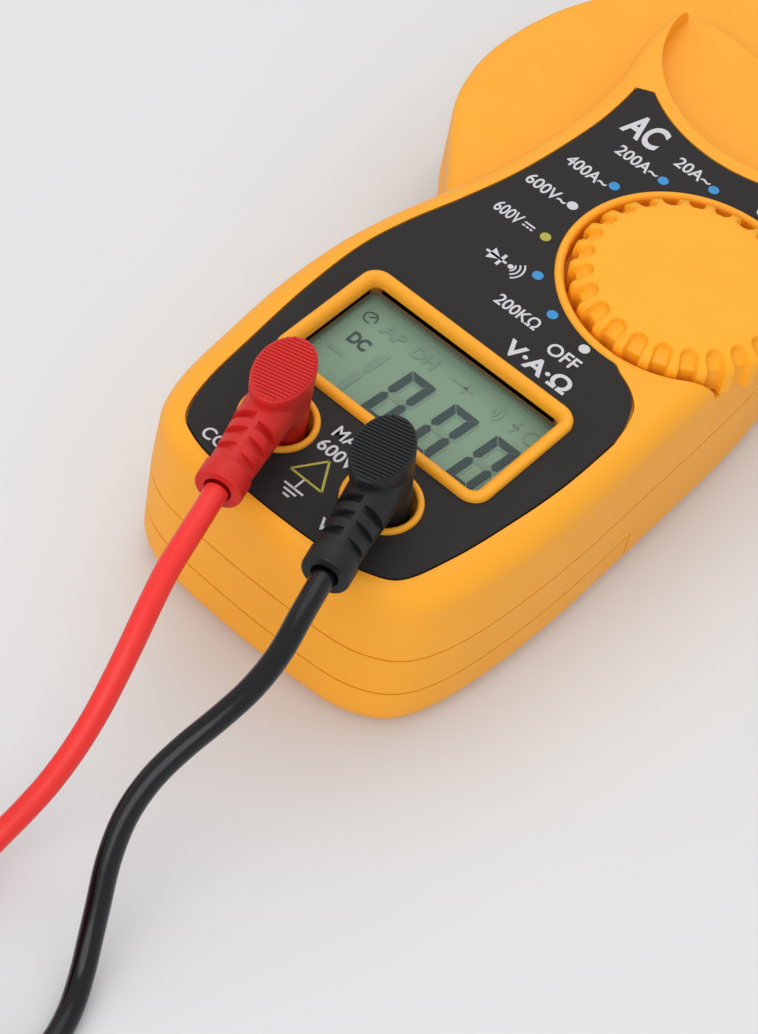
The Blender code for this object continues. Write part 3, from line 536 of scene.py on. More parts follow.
def add_grain(look, scale, strength):
    """Fine bump of a moulded surface."""
    tree = look.node_tree
    noise = add_noise(look, scale)
    bump = tree.nodes.new("ShaderNodeBump")
    bump.inputs["Strength"].default_value = strength
    bump.inputs["Distance"].default_value = GRAIN_DEPTH * MM
    link(tree, noise, "Fac", bump, "Height")
    link(tree, bump, "Normal", shader_of(look), "Normal")


def vary_roughness(look, scale, low, high):
    tree = look.node_tree
    noise = add_noise(look, scale, 5.0)
    spread = tree.nodes.new("ShaderNodeMapRange")
    spread.inputs["From Min"].default_value = 0.3
    spread.inputs["From Max"].default_value = 0.7
    spread.inputs["To Min"].default_value = low
    spread.inputs["To Max"].default_value = high
    link(tree, noise, "Fac", spread, "Value")
    link(tree, spread, "Result", shader_of(look), "Roughness")


def vary_colour(look, scale, first, second):
    tree = look.node_tree
    noise = add_noise(look, scale, 4.0)
    ramp = tree.nodes.new("ShaderNodeValToRGB")
    ramp.color_ramp.elements[0].position = 0.3
    ramp.color_ramp.elements[0].color = (*first, 1)
    ramp.color_ramp.elements[1].position = 0.7
    ramp.color_ramp.elements[1].color = (*second, 1)
    link(tree, noise, "Fac", ramp, "Fac")
    link(tree, ramp, "Color", shader_of(look), "Base Color")


def plastic(name, colour, shift, low, high, grain=0.25, grain_scale=5000):
    """Moulded plastic: slightly uneven colour and gloss with a fine grain."""
    look = material(name, colour)
    vary_colour(look, 45, colour, tuple(c * shift for c in colour))
    vary_roughness(look, 160, low, high)
    add_grain(look, grain_scale, grain)
    return look


def painted_shade_look():
    """Painted shade round the display: brown on the wall under the bezel, fading to green at the glass, in
    place of the shadow there.
    """
    look = material("display_painted_shade", (0.12, 0.09, 0.05), 0.6)
    tree = look.node_tree
    place = tree.nodes.new("ShaderNodeTexCoord")
    split = tree.nodes.new("ShaderNodeSeparateXYZ")
    height = tree.nodes.new("ShaderNodeMapRange")
    height.inputs["From Min"].default_value = PAINTED_SHADE_Z[0] * MM
    height.inputs["From Max"].default_value = PAINTED_SHADE_Z[1] * MM
    # painted shade by height: orange-brown under the bezel, dark brown in the middle, the display's green at
    # the glass
    ramp = tree.nodes.new("ShaderNodeValToRGB")
    ramp.color_ramp.elements[0].color = (0.16, 0.25, 0.17, 1)
    ramp.color_ramp.elements[1].color = (0.45, 0.17, 0.03, 1)
    ramp.color_ramp.elements.new(0.45).color = (0.10, 0.08, 0.045, 1)
    link(tree, place, "Object", split, "Vector")
    link(tree, split, "Z", height, "Value")
    link(tree, height, "Result", ramp, "Fac")
    link(tree, ramp, "Color", shader_of(look), "Base Color")
    vary_roughness(look, 160, 0.5, 0.65)
    return look


def make_looks():
    looks = {
        # painted shade for the wall under the display's bezel
        "painted_shade": painted_shade_look(),
        "shell": plastic("orange_plastic", (0.96, 0.40, 0.020), 0.975, 0.42, 0.52),
        "knob": plastic("orange_knob", (0.97, 0.41, 0.016), 0.98, 0.42, 0.52),
        "panel": plastic("panel_print", (0.023, 0.020, 0.020), 0.92, 0.5, 0.56, 0.12, 2500),
        "ink": plastic("white_ink", (0.60, 0.60, 0.63), 0.97, 0.5, 0.6, 0.05),
        "blue": plastic("blue_ink", (0.022, 0.26, 0.58), 0.95, 0.5, 0.6, 0.05),
        "olive": plastic("olive_ink", (0.42, 0.37, 0.035), 0.95, 0.4, 0.5, 0.05),
        "lcd": plastic("lcd_green", (0.190, 0.310, 0.205), 0.965, 0.4, 0.46, 0.02),
        "segment": plastic("lcd_segment", (0.012, 0.038, 0.040), 0.95, 0.4, 0.46, 0.02),
        "ghost": plastic("lcd_ghost", (0.160, 0.262, 0.178), 0.97, 0.4, 0.46, 0.02),
        "shade": plastic("lcd_shade", (0.150, 0.245, 0.175), 0.97, 0.4, 0.46, 0.02),
        "red": plastic("red_plug", (0.62, 0.020, 0.016), 0.95, 0.4, 0.5, 0.3, 3500),
        "red_wire": plastic("red_wire", (0.86, 0.034, 0.028), 0.95, 0.32, 0.42, 0.15, 3000),
        "black": plastic("black_plug", (0.012, 0.014, 0.015), 0.85, 0.4, 0.5, 0.3, 3500),
        "black_wire": plastic("black_wire", (0.004, 0.004, 0.005), 0.85, 0.16, 0.24, 0.12, 3000),
        "strap": plastic("strap", (0.05, 0.05, 0.05), 0.8, 0.6, 0.75, 0.5, 2500),
        "board": plastic("board_green", (0.012, 0.11, 0.035), 0.8, 0.3, 0.5, 0.2),
        "white": plastic("white_plastic", (0.7, 0.7, 0.67), 0.95, 0.4, 0.5),
        "dark": plastic("dark_plastic", (0.03, 0.03, 0.03), 0.8, 0.4, 0.5),
        "ferrite": plastic("ferrite", (0.07, 0.07, 0.075), 0.8, 0.5, 0.65, 0.5, 2500),
        "cell": plastic("cell_sleeve", (0.04, 0.10, 0.30), 0.9, 0.25, 0.35),
    }
    for name, colour, low, high in (
        ("steel", (0.62, 0.62, 0.60), 0.22, 0.38),
        ("brass", (0.80, 0.58, 0.26), 0.22, 0.36),
        ("copper", (0.75, 0.30, 0.14), 0.28, 0.42),
    ):
        look = material(name, colour, 0.3, 1.0)
        vary_colour(look, 120, colour, tuple(c * 0.9 for c in colour))
        vary_roughness(look, 400, low, high)
        add_grain(look, 6000, 0.1)
        looks[name] = look
    window = material("clear_window", (0.85, 0.95, 0.9), 0.06)
    shader_of(window).inputs["Alpha"].default_value = 0.03
    vary_roughness(window, 80, 0.04, 0.09)
    looks["window"] = window
    for level, names in (
        (0.1, ("segment", "painted_shade")),
        (0.15, ("panel", "window")),
        (0.2, ("lcd", "ghost", "shade", "dark")),
        (0.25, ("red", "black")),
        (0.3, ("shell", "knob", "red_wire")),
        (0.35, ("black_wire",)),
    ):
        for name in names:
            shader_of(looks[name]).inputs["Specular IOR Level"].default_value = level
    return looks


CARRIED = {
    "lcd": ("lcd_glass",),
    "window": ("lcd_window",),
    "board": ("circuit_board",),
    "dark": ("controller_chip", "capacitor", "zebra_strip"),
    "white": ("lcd_holder", "trimmer", "switch_rotor"),
    "steel": (
        "hold_switch", "contact_link", "contact_positive", "contact_negative", "case_screw_1", "case_screw_2",
        "case_screw_3", "case_screw_4", "battery_cover_screw", "fixed_jaw_screw", "moving_jaw_screw",
        "jaw_pivot_pin", "jaw_spring", "detent_spring", "detent_ball", "probe_tip_red", "probe_tip_black",
    ),
    "brass": ("jack_socket_com", "jack_socket_input", "plug_pin_red", "plug_pin_black", "buzzer"),
    "copper": ("current_coil", "contact_wiper"),
    "ferrite": ("fixed_jaw_core", "moving_jaw_core"),
    "cell": ("battery_cell_1", "battery_cell_2", "ptc_thermistor"),
}


def dress_carried(nodes, looks):
    """Gives every CAD node that stays its finished material."""
    for look, names in CARRIED.items():
        for name in names:
            for place in nodes[name].material_slots:
                place.material = looks[look]


# -------- stage


def make_stage():
    camera = bpy.data.cameras.new("camera")
    camera.lens = CAMERA_LENS
    camera.sensor_width = 36.0
    camera.clip_start = 0.01
    camera.clip_end = 20.0
    camera.shift_x = CAMERA_SHIFT
    eye = add_object("camera", camera)
    eye.location = [v * MM for v in CAMERA_AT]
    eye.rotation_euler = [math.radians(v) for v in CAMERA_TURN]
    bpy.context.scene.camera = eye

    half = FLOOR_SIZE / 2 * MM
    shape = blank()
    corners = ((-half, -half, 0), (half, -half, 0), (half, half, 0), (-half, half, 0))
    shape.faces.new([shape.verts.new(corner) for corner in corners])
    mesh = made("floor", shape)
    look = material("floor", (0.71, 0.725, 0.735), 0.6)
    vary_roughness(look, 20, 0.45, 0.6)
    mesh.materials.append(look)
    add_object("floor", mesh)

    bpy.context.scene.view_settings.view_transform = "Standard"
    world = bpy.data.worlds.new("studio")
    world.use_nodes = True
    sky = world.node_tree.nodes["Background"]
    sky.inputs["Color"].default_value = (0.97, 0.98, 1.0, 1)
    sky.inputs["Strength"].default_value = 0.74
    bpy.context.scene.world = world
    add_light((-250, 350, 900), 1000, 2.4, (1.0, 0.985, 0.965))
    add_light((150, -850, 600), 900, 4.2, (1.0, 0.99, 0.98))


def add_light(place, size, power, colour):
    """A round softbox that faces the panel."""
    lamp = bpy.data.lights.new("softbox", "AREA")
    lamp.shape = "DISK"
    lamp.size = size * MM
    lamp.energy = power
    lamp.color = colour
    item = add_object("softbox", lamp)
    item.location = Vector(place) * MM
    item.rotation_euler = (Vector(LIGHT_AIM) - Vector(place)).to_track_quat("-Z", "Y").to_euler()


# -------- case


def shoulder(steps=10):
    """(share, z) pairs up the side of the front cover and round its shoulder."""
    rings = [(0.0, SEAM_Z + SEAM_GAP), (0.03, 20.0), (0.07, 23.0)]
    for k in range(steps + 1):
        turn = math.radians(90 * k / steps)
        rings.append((0.12 + 0.88 * (1 - math.cos(turn)), 26.2 + (FACE_Z - 26.2) * math.sin(turn)))
    return rings


def label_outline(grow=0.0):
    pairs = list(zip(case_ring(1.0, 0.4), case_ring(1.0, 0.4 - grow)))
    left_side = [p for (x, y), p in pairs if x < 0 and y < 28.4]
    right_low = [p for (x, y), p in pairs if x >= 0 and y < -30.5]
    right_edge = [p for (x, y), p in pairs if x > 15 and 20.5 < y < 31.5]
    corner = [(24.3 + grow, -27.4), (22.9 + grow, -24.0 + grow), (20.6, -21.6 + grow), (17.6, -20.2 + grow)]
    ring = arc(DIAL_X, 0, DIAL_WELL_R + DIAL_RIM - grow, -84, -294 - 4 * grow, 90)
    boss = arc(0, BOSS_Y, BOSS_R + 0.3 - grow, -36 + 4 * grow, -125, 48)
    return left_side + right_low + smooth_open(corner, 5) + ring + right_edge + boss


def smooth_open(points, steps):
    """An open Catmull-Rom curve through 2D or 3D points, ends included."""
    ends = [points[0]] + list(points) + [points[-1]]
    result = []
    for i in range(len(points) - 1):
        p0, p1, p2, p3 = (Vector(ends[i + k]) for k in range(4))
        result += [tuple(spline_point(p0, p1, p2, p3, j / steps)) for j in range(steps)]
    return result + [tuple(points[-1])]


def jaw_passage():
    low, high = JAW_Z[0] - 0.4, JAW_Z[1] + 0.4
    return [box(-50, -9.5, low, -15.5, 60, high), box(-30, 27.5, low, 30, 60, high)]


def inside_case(tool):
    """Keeps what lies just under the front cover's outer skin."""
    work = solid(tool)
    rings = [at(case_ring(share, GAP), z - GAP) for share, z in shoulder()]
    combine(work, solid(add_loft(blank(), rings)), "INTERSECT")
    return taken(work)


def front_cover(looks):
    outer = [(case_ring(share), z) for share, z in shoulder()]
    inner = [(case_ring(0.5, 2.0), 28.7), (case_ring(0.35, WALL), 27.8), (case_ring(0.1, WALL), 24.5),
             (case_ring(0.0, WALL), SEAM_Z + SEAM_GAP)]
    work = solid(tray(outer, inner))
    join(work, inside_case(disc(0, BOSS_Y, BOSS_R - 0.8, JAW_Z[1] + 0.2, BOSS_RIB_TOP_Z, 96)))
    join(work, inside_case(disc(DIAL_X, 0, DIAL_WELL_R + DIAL_RIM, 24.6, 30.0, 96)))
    cut(work, disc(0, BOSS_Y, BOSS_STEP_R, BOSS_TOP_Z, RECESS_TOP, 128))
    cut(work, disc(DIAL_X, 0, DIAL_WELL_R, DIAL_WELL_Z, RECESS_TOP, 128))
    cut(work, prism(label_outline(GAP), FACE_Z - 0.9, RECESS_TOP))
    cut(work, prism(rounded_box(*WINDOW, WINDOW_R), *THROUGH))
    cut(work, *[disc(x, JACK_Y, JACK_HOLE_R, 10, RECESS_TOP) for x in (-JACK_X, JACK_X)])
    cut(work, disc(*HOLD_BUTTON, HOLD_R + GAP, *THROUGH))
    cut(work, disc(DIAL_X, 0, DIAL_SHAFT_HOLE_R, *THROUGH))
    cut(work, *jaw_passage())
    publish_shell("front_cover", work, looks)
    display_surround(looks)
    jack_rims(looks)
    dial_bead(looks)


def publish_shell(node, work, looks):
    """The finished shell that stands for a cover's node."""
    piece = publish(f"{node}_shell", taken(work), looks["shell"], "case", [node])
    soften(piece, EDGE)


def display_surround(looks):
    frame = blank()
    outside, inside = rounded_box(*BEZEL, BEZEL_R), rounded_box(*WINDOW, WINDOW_R)
    section = [
        (0.0, 29.7), (0.02, 30.9), (0.1, 31.25), (0.25, 31.48), (0.45, 31.55), (0.62, 31.45), (0.78, 31.2),
        (0.92, 30.8), (1.0, 30.3), (1.0, 29.6),
    ]
    rings = []
    for share, z in section:
        ring = [(a[0] + (b[0] - a[0]) * share, a[1] + (b[1] - a[1]) * share) for a, b in zip(outside, inside)]
        rings.append(at(ring, z))
    add_loft(frame, rings, closed=True)
    publish("display_bezel", frame, looks["shell"], "case", sharp=60)

    # The window's wall under the bezel is lined with a ring of painted shade, dark brown fading to green, in
    # place of its shadow.
    x0, y0, x1, y1 = WINDOW
    outside = rounded_box(x0 - GAP, y0 - GAP, x1 + GAP, y1 + GAP, WINDOW_R + GAP)
    low, high = PAINTED_SHADE_Z
    rings = [at(outside, high), at(inside, high), at(inside, low), at(outside, low)]
    painted_shade = add_loft(blank(), rings, closed=True)
    publish("display_painted_shade", painted_shade, looks["painted_shade"], "case", sharp=60)


def jack_rims(looks):
    rims = blank()
    rim = ring_section(JACK_HOLE_R, JACK_RING_R, 29.6, FACE_Z + 0.65)
    outer = JACK_HOLE_R + 0.6
    sleeve = [(JACK_HOLE_R, 30.6), (outer, 30.4), (outer, 24.8), (JACK_HOLE_R, 24.8)]
    for x in (-JACK_X, JACK_X):
        add_turned(rims, x, JACK_Y, rim, 64, closed=True)
        add_turned(rims, x, JACK_Y, sleeve, 64, closed=True)
    publish("jack_rims", rims, looks["shell"], "case", sharp=60)


def dial_bead(looks):
    """Rounded rim round the dial's well, which sinks into the panel at its two ends."""
    bead = []
    steps = 120
    for k in range(steps + 1):
        turn = math.radians(-72 - 226 * k / steps)
        swell = ease(min(k, steps - k) / 10)
        section = ring_section(DIAL_WELL_R, DIAL_WELL_R + DIAL_RIM, 29.4, FACE_Z + 0.1 + 0.4 * swell)
        bead.append([(DIAL_X + r * math.cos(turn), r * math.sin(turn), z) for r, z in section])
    publish("dial_bead", add_loft(blank(), bead), looks["shell"], "case", sharp=60)


def ring_section(inner, outer, low, high, count=10):
    """Closed section of a ring with a rounded top, as (radius, z) pairs."""
    middle, half = (inner + outer) / 2, (outer - inner) / 2
    top = []
    for k in range(count + 1):
        angle = math.pi * k / count
        top.append((middle + half * math.cos(angle), high - half * (1 - math.sin(angle))))
    return [(outer, low)] + top + [(inner, low)]


def rear_profile(top):
    outer = [(0.0, top)]
    for k in range(9):
        turn = math.radians(90 * k / 8)
        outer.append((3.9 * (1 - math.cos(turn)), 4.6 - 4.6 * math.sin(turn)))
    inner = [(4.6, 1.9), (2.3, 4.0), (WALL, top)]
    return [(case_ring(0.0, d), z) for d, z in outer], [(case_ring(0.0, d), z) for d, z in inner]


def rear_cover(looks):
    work = solid(tray(*rear_profile(SEAM_Z - SEAM_GAP)))
    cut(work, box(-40, -90, -5, 40, COVER_END_Y + GAP, COVER_SEAM_Z + SEAM_GAP))
    for x, y, head in CASE_SCREWS:
        if head < 5:
            join(work, disc(x, y, 3.6, 1.0, 12, 32))
            cut(work, disc(x, y, SCREW_HEAD_HOLE_R, -2, head + 2.1, 32), disc(x, y, SCREW_HOLE_R, -2, 20, 24))
    cut(work, *jaw_passage())
    publish_shell("rear_cover", work, looks)


def battery_cover(looks):
    work = solid(tray(*rear_profile(COVER_SEAM_Z - SEAM_GAP)))
    join(work, disc(*COVER_SCREW, 4.4, 0.9, 6.0, 32))
    cut(work, box(-40, COVER_END_Y, -5, 40, 70, 30))
    cut(work, disc(*COVER_SCREW, SCREW_HEAD_HOLE_R, -2, 3.0, 32))
    cut(work, disc(*COVER_SCREW, SCREW_HOLE_R, -2, 10, 24))
    cut(work, *[box(x - 0.5, -36.0, -1, x + 0.5, -30.0, 0.5) for x in (-6, -3, 0, 3, 6)])
    publish_shell("battery_cover", work, looks)


def panel(looks):
    work = solid(prism(label_outline(), FACE_Z - 0.6, FACE_Z))
    cut(work, prism(rounded_box(*BEZEL, BEZEL_R), *THROUGH))
    cut(work, *[disc(x, JACK_Y, JACK_RING_R - 0.05, *THROUGH) for x in (-JACK_X, JACK_X)])
    cut(work, disc(*HOLD_BUTTON, HOLD_R + GAP, *THROUGH))
    publish("panel_sheet", taken(work), looks["panel"], "case", ["panel_label"])
    dots(looks)
    lettering(looks)
    symbols(looks)


def dots(looks):
    for name, look, places in (
        ("blue_dots", "blue", BLUE_DOTS),
        ("white_dots", "ink", WHITE_DOTS),
        ("olive_dot", "olive", [OLIVE_DOT]),
    ):
        shape = blank()
        for x, y in places:
            add_turned(shape, x, y, [(DOT_R, PRINT_Z - PRINT_DEPTH), (DOT_R, PRINT_Z + 0.01)], 32)
        publish(name, shape, looks[look], "case")


def text_mesh(text, x0, x1, y0, height, bold):
    """Flat lettering that fills a box whose height is that of the capitals."""
    curve = bpy.data.curves.new("text", "FONT")
    curve.body = text
    curve.extrude = 0.01
    curve.offset = 0.03 if bold else 0.015
    item = add_object("text", curve)
    mesh = evaluated(item)
    bpy.data.objects.remove(item)
    shape = bmesh.new()
    shape.from_mesh(mesh)
    bpy.data.meshes.remove(mesh)
    low = min(v.co.x for v in shape.verts)
    high = max(v.co.x for v in shape.verts)
    foot = min(v.co.y for v in shape.verts)
    head = max(v.co.y for v in shape.verts)
    for v in shape.verts:
        v.co.x = x0 + (v.co.x - low) * (x1 - x0) / (high - low)
        v.co.y = y0 + (v.co.y - foot) * height / (head - foot)
        v.co.z = PRINT_Z if v.co.z > 0 else PRINT_Z - PRINT_DEPTH
    return shape


def lettering(looks):
    for number, (text, x0, x1, y0, height) in enumerate(PANEL_TEXT, 1):
        shape = text_mesh(text, x0, x1, y0, height, text in BOLD_TEXT)
        publish(f"lettering_{number}", shape, looks["ink"], "case")


def add_stroke(shape, start, end, width, z=PRINT_Z, thick=PRINT_DEPTH):
    """A flat bar between two points of the panel."""
    a, b = Vector(start), Vector(end)
    along = (b - a).normalized()
    side = Vector((-along.y, along.x)) * width / 2
    outline = [tuple(a - side), tuple(b - side), tuple(b + side), tuple(a + side)]
    add_loft(shape, [at(outline, z - thick), at(outline, z)])


def add_line(shape, points, width, z=PRINT_Z, thick=PRINT_DEPTH):
    """Flat bars from point to point."""
    for a, b in zip(points, points[1:]):
        add_stroke(shape, a, b, width, z, thick)


def add_waves(shape, x, y, radii, count, width, z=PRINT_Z, thick=PRINT_DEPTH):
    """The sound sign: arcs one inside the other."""
    for r in radii:
        add_line(shape, arc(x, y, r, -48, 48, count), width, z, thick)


def symbols(looks):
    shape = blank()
    # direct-current sign beside 600 V
    add_stroke(shape, (-10.4, -7.6), (-8.5, -7.6), 0.3)
    for x in (-10.4, -9.7, -9.0):
        add_stroke(shape, (x, -8.3), (x + 0.5, -8.3), 0.3)
    # diode and sound sign
    add_stroke(shape, (-10.7, -16.2), (-6.9, -16.2), 0.42)
    add_stroke(shape, (-7.9, -17.5), (-7.9, -14.9), 0.5)
    wedge = [(-9.9, -17.5), (-8.0, -16.2), (-9.9, -14.9)]
    add_loft(shape, [at(wedge, PRINT_Z - PRINT_DEPTH), at(wedge, PRINT_Z)])
    add_turned(shape, -6.1, -16.2, [(0.45, PRINT_Z - PRINT_DEPTH), (0.45, PRINT_Z)], 20)
    add_waves(shape, -6.4, -16.2, (1.0, 1.7, 2.4), 8, 0.28)
    # earth sign
    add_stroke(shape, (0.0, -67.9), (0.0, -70.0), 0.3)
    for half, y in ((1.7, -70.0), (1.1, -70.8), (0.55, -71.6)):
        add_stroke(shape, (-half, y), (half, y), 0.34)
    publish("panel_signs", shape, looks["ink"], "case")

    shape = blank()
    corners = [(0.2, -62.9), (3.05, -67.7), (-2.65, -67.7)]
    add_line(shape, corners + corners[:1], 0.34)
    publish("panel_triangle", shape, looks["olive"], "case")


# -------- display


def add_segment(shape, foot, name, z):
    """One bar of a seven-bar digit, by its usual letter."""
    w, h, t = DIGIT_WIDTH, DIGIT_HEIGHT, BAR
    cut_in = 0.12
    half = h / 2
    level = {"a": h, "g": half, "d": 0.0}
    if name in level:
        y = level[name]
        if name == "a":
            points = [(cut_in, y), (w - cut_in, y), (w - t - cut_in, y - t), (t + cut_in, y - t)]
        elif name == "d":
            points = [(cut_in, y), (t + cut_in, y + t), (w - t - cut_in, y + t), (w - cut_in, y)]
        else:
            points = [
                (t * 0.5 + cut_in, y), (t + cut_in, y + t / 2), (w - t - cut_in, y + t / 2),
                (w - t * 0.5 - cut_in, y), (w - t - cut_in, y - t / 2), (t + cut_in, y - t / 2),
            ]
    else:
        right, upper = name in "bc", name in "bf"
        y0, y1 = (half, h) if upper else (0.0, half)
        out, inn = (w, w - t) if right else (0.0, t)
        far, near = (y1, y0) if upper else (y0, y1)
        sign = 1 if upper else -1
        points = [
            (out, far - sign * cut_in), (inn, far - sign * (t + cut_in)),
            (inn, near + sign * (t / 2 + cut_in)), ((out + inn) / 2, near + sign * cut_in),
            (out, near + sign * (t / 2)),
        ]
    placed = [(foot[0] + x + DIGIT_LEAN * y, foot[1] + y) for x, y in points]
    add_loft(shape, [at(placed, z - FILM), at(placed, z)])


def lcd_digits(looks):
    lit, faint, shade = blank(), blank(), blank()
    for x in DIGITS_X:
        for name in "abcdef":
            add_segment(lit, (x, DIGIT_Y), name, LIT_Z)
            add_segment(shade, (x + 0.4, DIGIT_Y - 0.5), name, SHADE_Z)
        add_segment(faint, (x, DIGIT_Y), "g", FAINT_Z)
        point_x, point_y = x + DIGIT_WIDTH + 0.8, DIGIT_Y + 0.3
        add_stroke(faint, (point_x, point_y), (point_x + 0.5, point_y), 0.9, FAINT_Z, FILM)
    for name in "bc":
        add_segment(faint, (DIGITS_X[0] - 8.3, DIGIT_Y), name, FAINT_Z)
    # faint signs: minus, plus, sound, lightning and a ring
    for width, points in (
        (0.9, [(-15.8, -44.6), (-13.0, -44.6)]),
        (0.35, [(0.4, -36.2), (4.4, -36.2)]),
        (0.4, [(3.0, -37.4), (3.0, -35.0)]),
        (0.4, [(12.9, -34.8), (11.9, -36.3), (12.9, -36.2), (12.0, -37.8)]),
        (0.3, arc(15.5, -36.3, 1.25, 0, 360, 24)),
    ):
        add_line(faint, points, width, FAINT_Z, FILM)
    add_waves(faint, 7.6, -36.2, (0.9, 1.6, 2.3), 6, 0.3, FAINT_Z, FILM)
    # clock sign
    add_line(lit, arc(-15.0, -36.4, 1.05, -20, 300, 20), 0.22, LIT_Z, FILM)
    add_stroke(lit, (-15.2, -36.5), (-14.3, -35.6), 0.22, LIT_Z, FILM)
    publish("lcd_segments", lit, looks["segment"], "case")
    publish("lcd_ghosts", faint, looks["ghost"], "case")
    publish("lcd_shadows", shade, looks["shade"], "case")
    for name, text, x0, x1, y0, height, look in (
        ("lcd_letters", "DC", -14.8, -11.5, -42.2, 2.4, "segment"),
        ("lcd_faint_letters_1", "AP", -12.6, -8.6, -37.4, 2.3, "ghost"),
        ("lcd_faint_letters_2", "DH", -6.9, -2.6, -37.4, 2.3, "ghost"),
    ):
        shape = text_mesh(text, x0, x1, y0, height, True)
        for v in shape.verts:
            v.co.z += LETTER_Z - PRINT_Z
        publish(name, shape, looks[look], "case")


# -------- dial and button


def dial_profile():
    """Side of the knob from its foot to its flat top, as (radius, z) pairs."""
    side = [(DIAL_R, DIAL_BOTTOM_Z), (DIAL_R, 29.0), (DIAL_R, 30.8)]
    shoulder_line = [
        (DIAL_R, 30.8), (16.95, 31.5), (16.3, 32.15), (15.4, 32.72), (14.4, 33.12), (13.4, 33.34),
        (12.2, DIAL_TOP_Z),
    ]
    return side + [tuple(p) for p in smooth_open(shoulder_line, 5)[1:]]


def groove_depth(offset, radius):
    """Depth of a round-ended groove, sideways offset from its middle line, at a radius."""
    past_end = GROOVE_HALF - (radius - GROOVE_START)
    if past_end > GROOVE_HALF:
        return 0.0
    away = math.hypot(offset, max(0.0, past_end))
    return GROOVE_DEPTH * ease((GROOVE_HALF + 0.12 - away) / 0.4)


def dial(looks):
    profile = dial_profile()
    per_groove = 24
    pitch = math.tau / DIAL_GROOVES
    rings = []
    for i, (radius, z) in enumerate(profile):
        before, after = Vector(profile[max(i - 1, 0)]), Vector(profile[min(i + 1, len(profile) - 1)])
        along = (after - before).normalized()
        ring = []
        for k in range(DIAL_GROOVES * per_groove):
            share = (k % per_groove) / per_groove - 0.5
            depth = groove_depth(share * pitch * radius, radius)
            r = radius - depth * along.y
            angle = DIAL_TURN + pitch * (k // per_groove + share)
            ring.append((DIAL_X + r * math.cos(angle), r * math.sin(angle), z + depth * along.x))
        rings.append(ring)
    shape = add_loft(blank(), rings)
    publish("dial_knob_fine", shape, looks["knob"], "dial", ["dial_knob"], sharp=60)


def hold_button(looks):
    x, y = HOLD_BUTTON
    profile = [(HOLD_R, 22.8), (HOLD_R, FACE_Z + 0.6)]
    for k in range(1, 6):
        turn = math.radians(90 * k / 5)
        profile.append((HOLD_R - 0.6 * (1 - math.cos(turn)), FACE_Z + 0.6 + 0.5 * math.sin(turn)))
    profile.append((0.6, FACE_Z + 1.12))
    publish("hold_button_cap", add_turned(blank(), x, y, profile, 48), looks["knob"], "hold_button",
            ["hold_button"], sharp=60)


# -------- jaws


def fixed_jaw_outline():
    return (
        arc(0, BOSS_Y, ROOT_R, -89.0, 0, 30)
        + [(20.55, 51.5), (20.6, 54.0)]
        + ellipse_arc(JAW_OUTER, -42, 89.3, 60)
        + ellipse_arc(JAW_INNER, 88.8, -88.8, 60)
    )


def moving_jaw_outline():
    trigger = smooth_open(
        [
            (-28.6, 65.5), (-32.0, 57.5), (-36.4, 48.5), (-39.8, 39.0), (-41.3, 29.0), (-40.9, 19.5),
            (-38.0, 10.6), (-33.0, 3.4), (-28.2, -2.8), (-26.2, -5.8), (-23.8, -6.9), (-21.8, -5.6),
            (-20.9, -2.4), (-20.4, 8.0), (-19.8, 19.0), (-18.8, 28.0),
        ],
        5,
    )
    hub = arc(*PIVOT, HUB_R, 246, 360, 30)
    return ellipse_arc(JAW_OUTER, 90.7, 199, 54) + trigger + hub + ellipse_arc(JAW_INNER, 268.8, 91.2, 60)


def jaw_ring(outline, distance, z, side):
    """An inset outline, kept back from the flat ends where the two jaws meet; side is 1 or -1."""
    edge = min(side * x for x, y in outline) + distance
    return [(side * max(side * x, edge), y, z) for x, y in inset(outline, distance)]


def jaw_shell(name, outline, front, body, looks):
    """One shell of a jaw, rounded towards the front or the back."""
    middle, face = (JAW_MID_Z + SEAM_GAP, JAW_Z[1]) if front else (JAW_MID_Z - SEAM_GAP, JAW_Z[0])
    turn_in = 1.9
    sign = 1 if front else -1
    side = -1 if body == "moving_jaw" else 1
    rings = [jaw_ring(outline, 0.12, middle, side), at(outline, middle + sign * 0.15)]
    for k in range(9):
        angle = math.radians(90 * k / 8)
        z = face - sign * turn_in * (1 - math.sin(angle))
        rings.append(jaw_ring(outline, turn_in * (1 - math.cos(angle)), z, side))
    work = solid(add_plate(blank(), rings))
    if body == "moving_jaw":
        cut(work, disc(*PIVOT, PIN_R + GAP, 0, 40, 24))
        x, y = MOVING_SCREW
    else:
        x, y = FIXED_SCREW
    if not front:
        cut(work, disc(x, y, SCREW_HEAD_HOLE_R, 0, JAW_Z[0] + 3.2, 32), disc(x, y, SCREW_HOLE_R, 0, 14, 24))
    node = f"{name}_{'front' if front else 'rear'}"
    publish(f"{node}_shell", taken(work), looks["shell"], body, [node], sharp=40)


def jaws(looks):
    for front in (True, False):
        jaw_shell("fixed_jaw", fixed_jaw_outline(), front, "case", looks)
        jaw_shell("moving_jaw", moving_jaw_outline(), front, "moving_jaw", looks)


# -------- leads


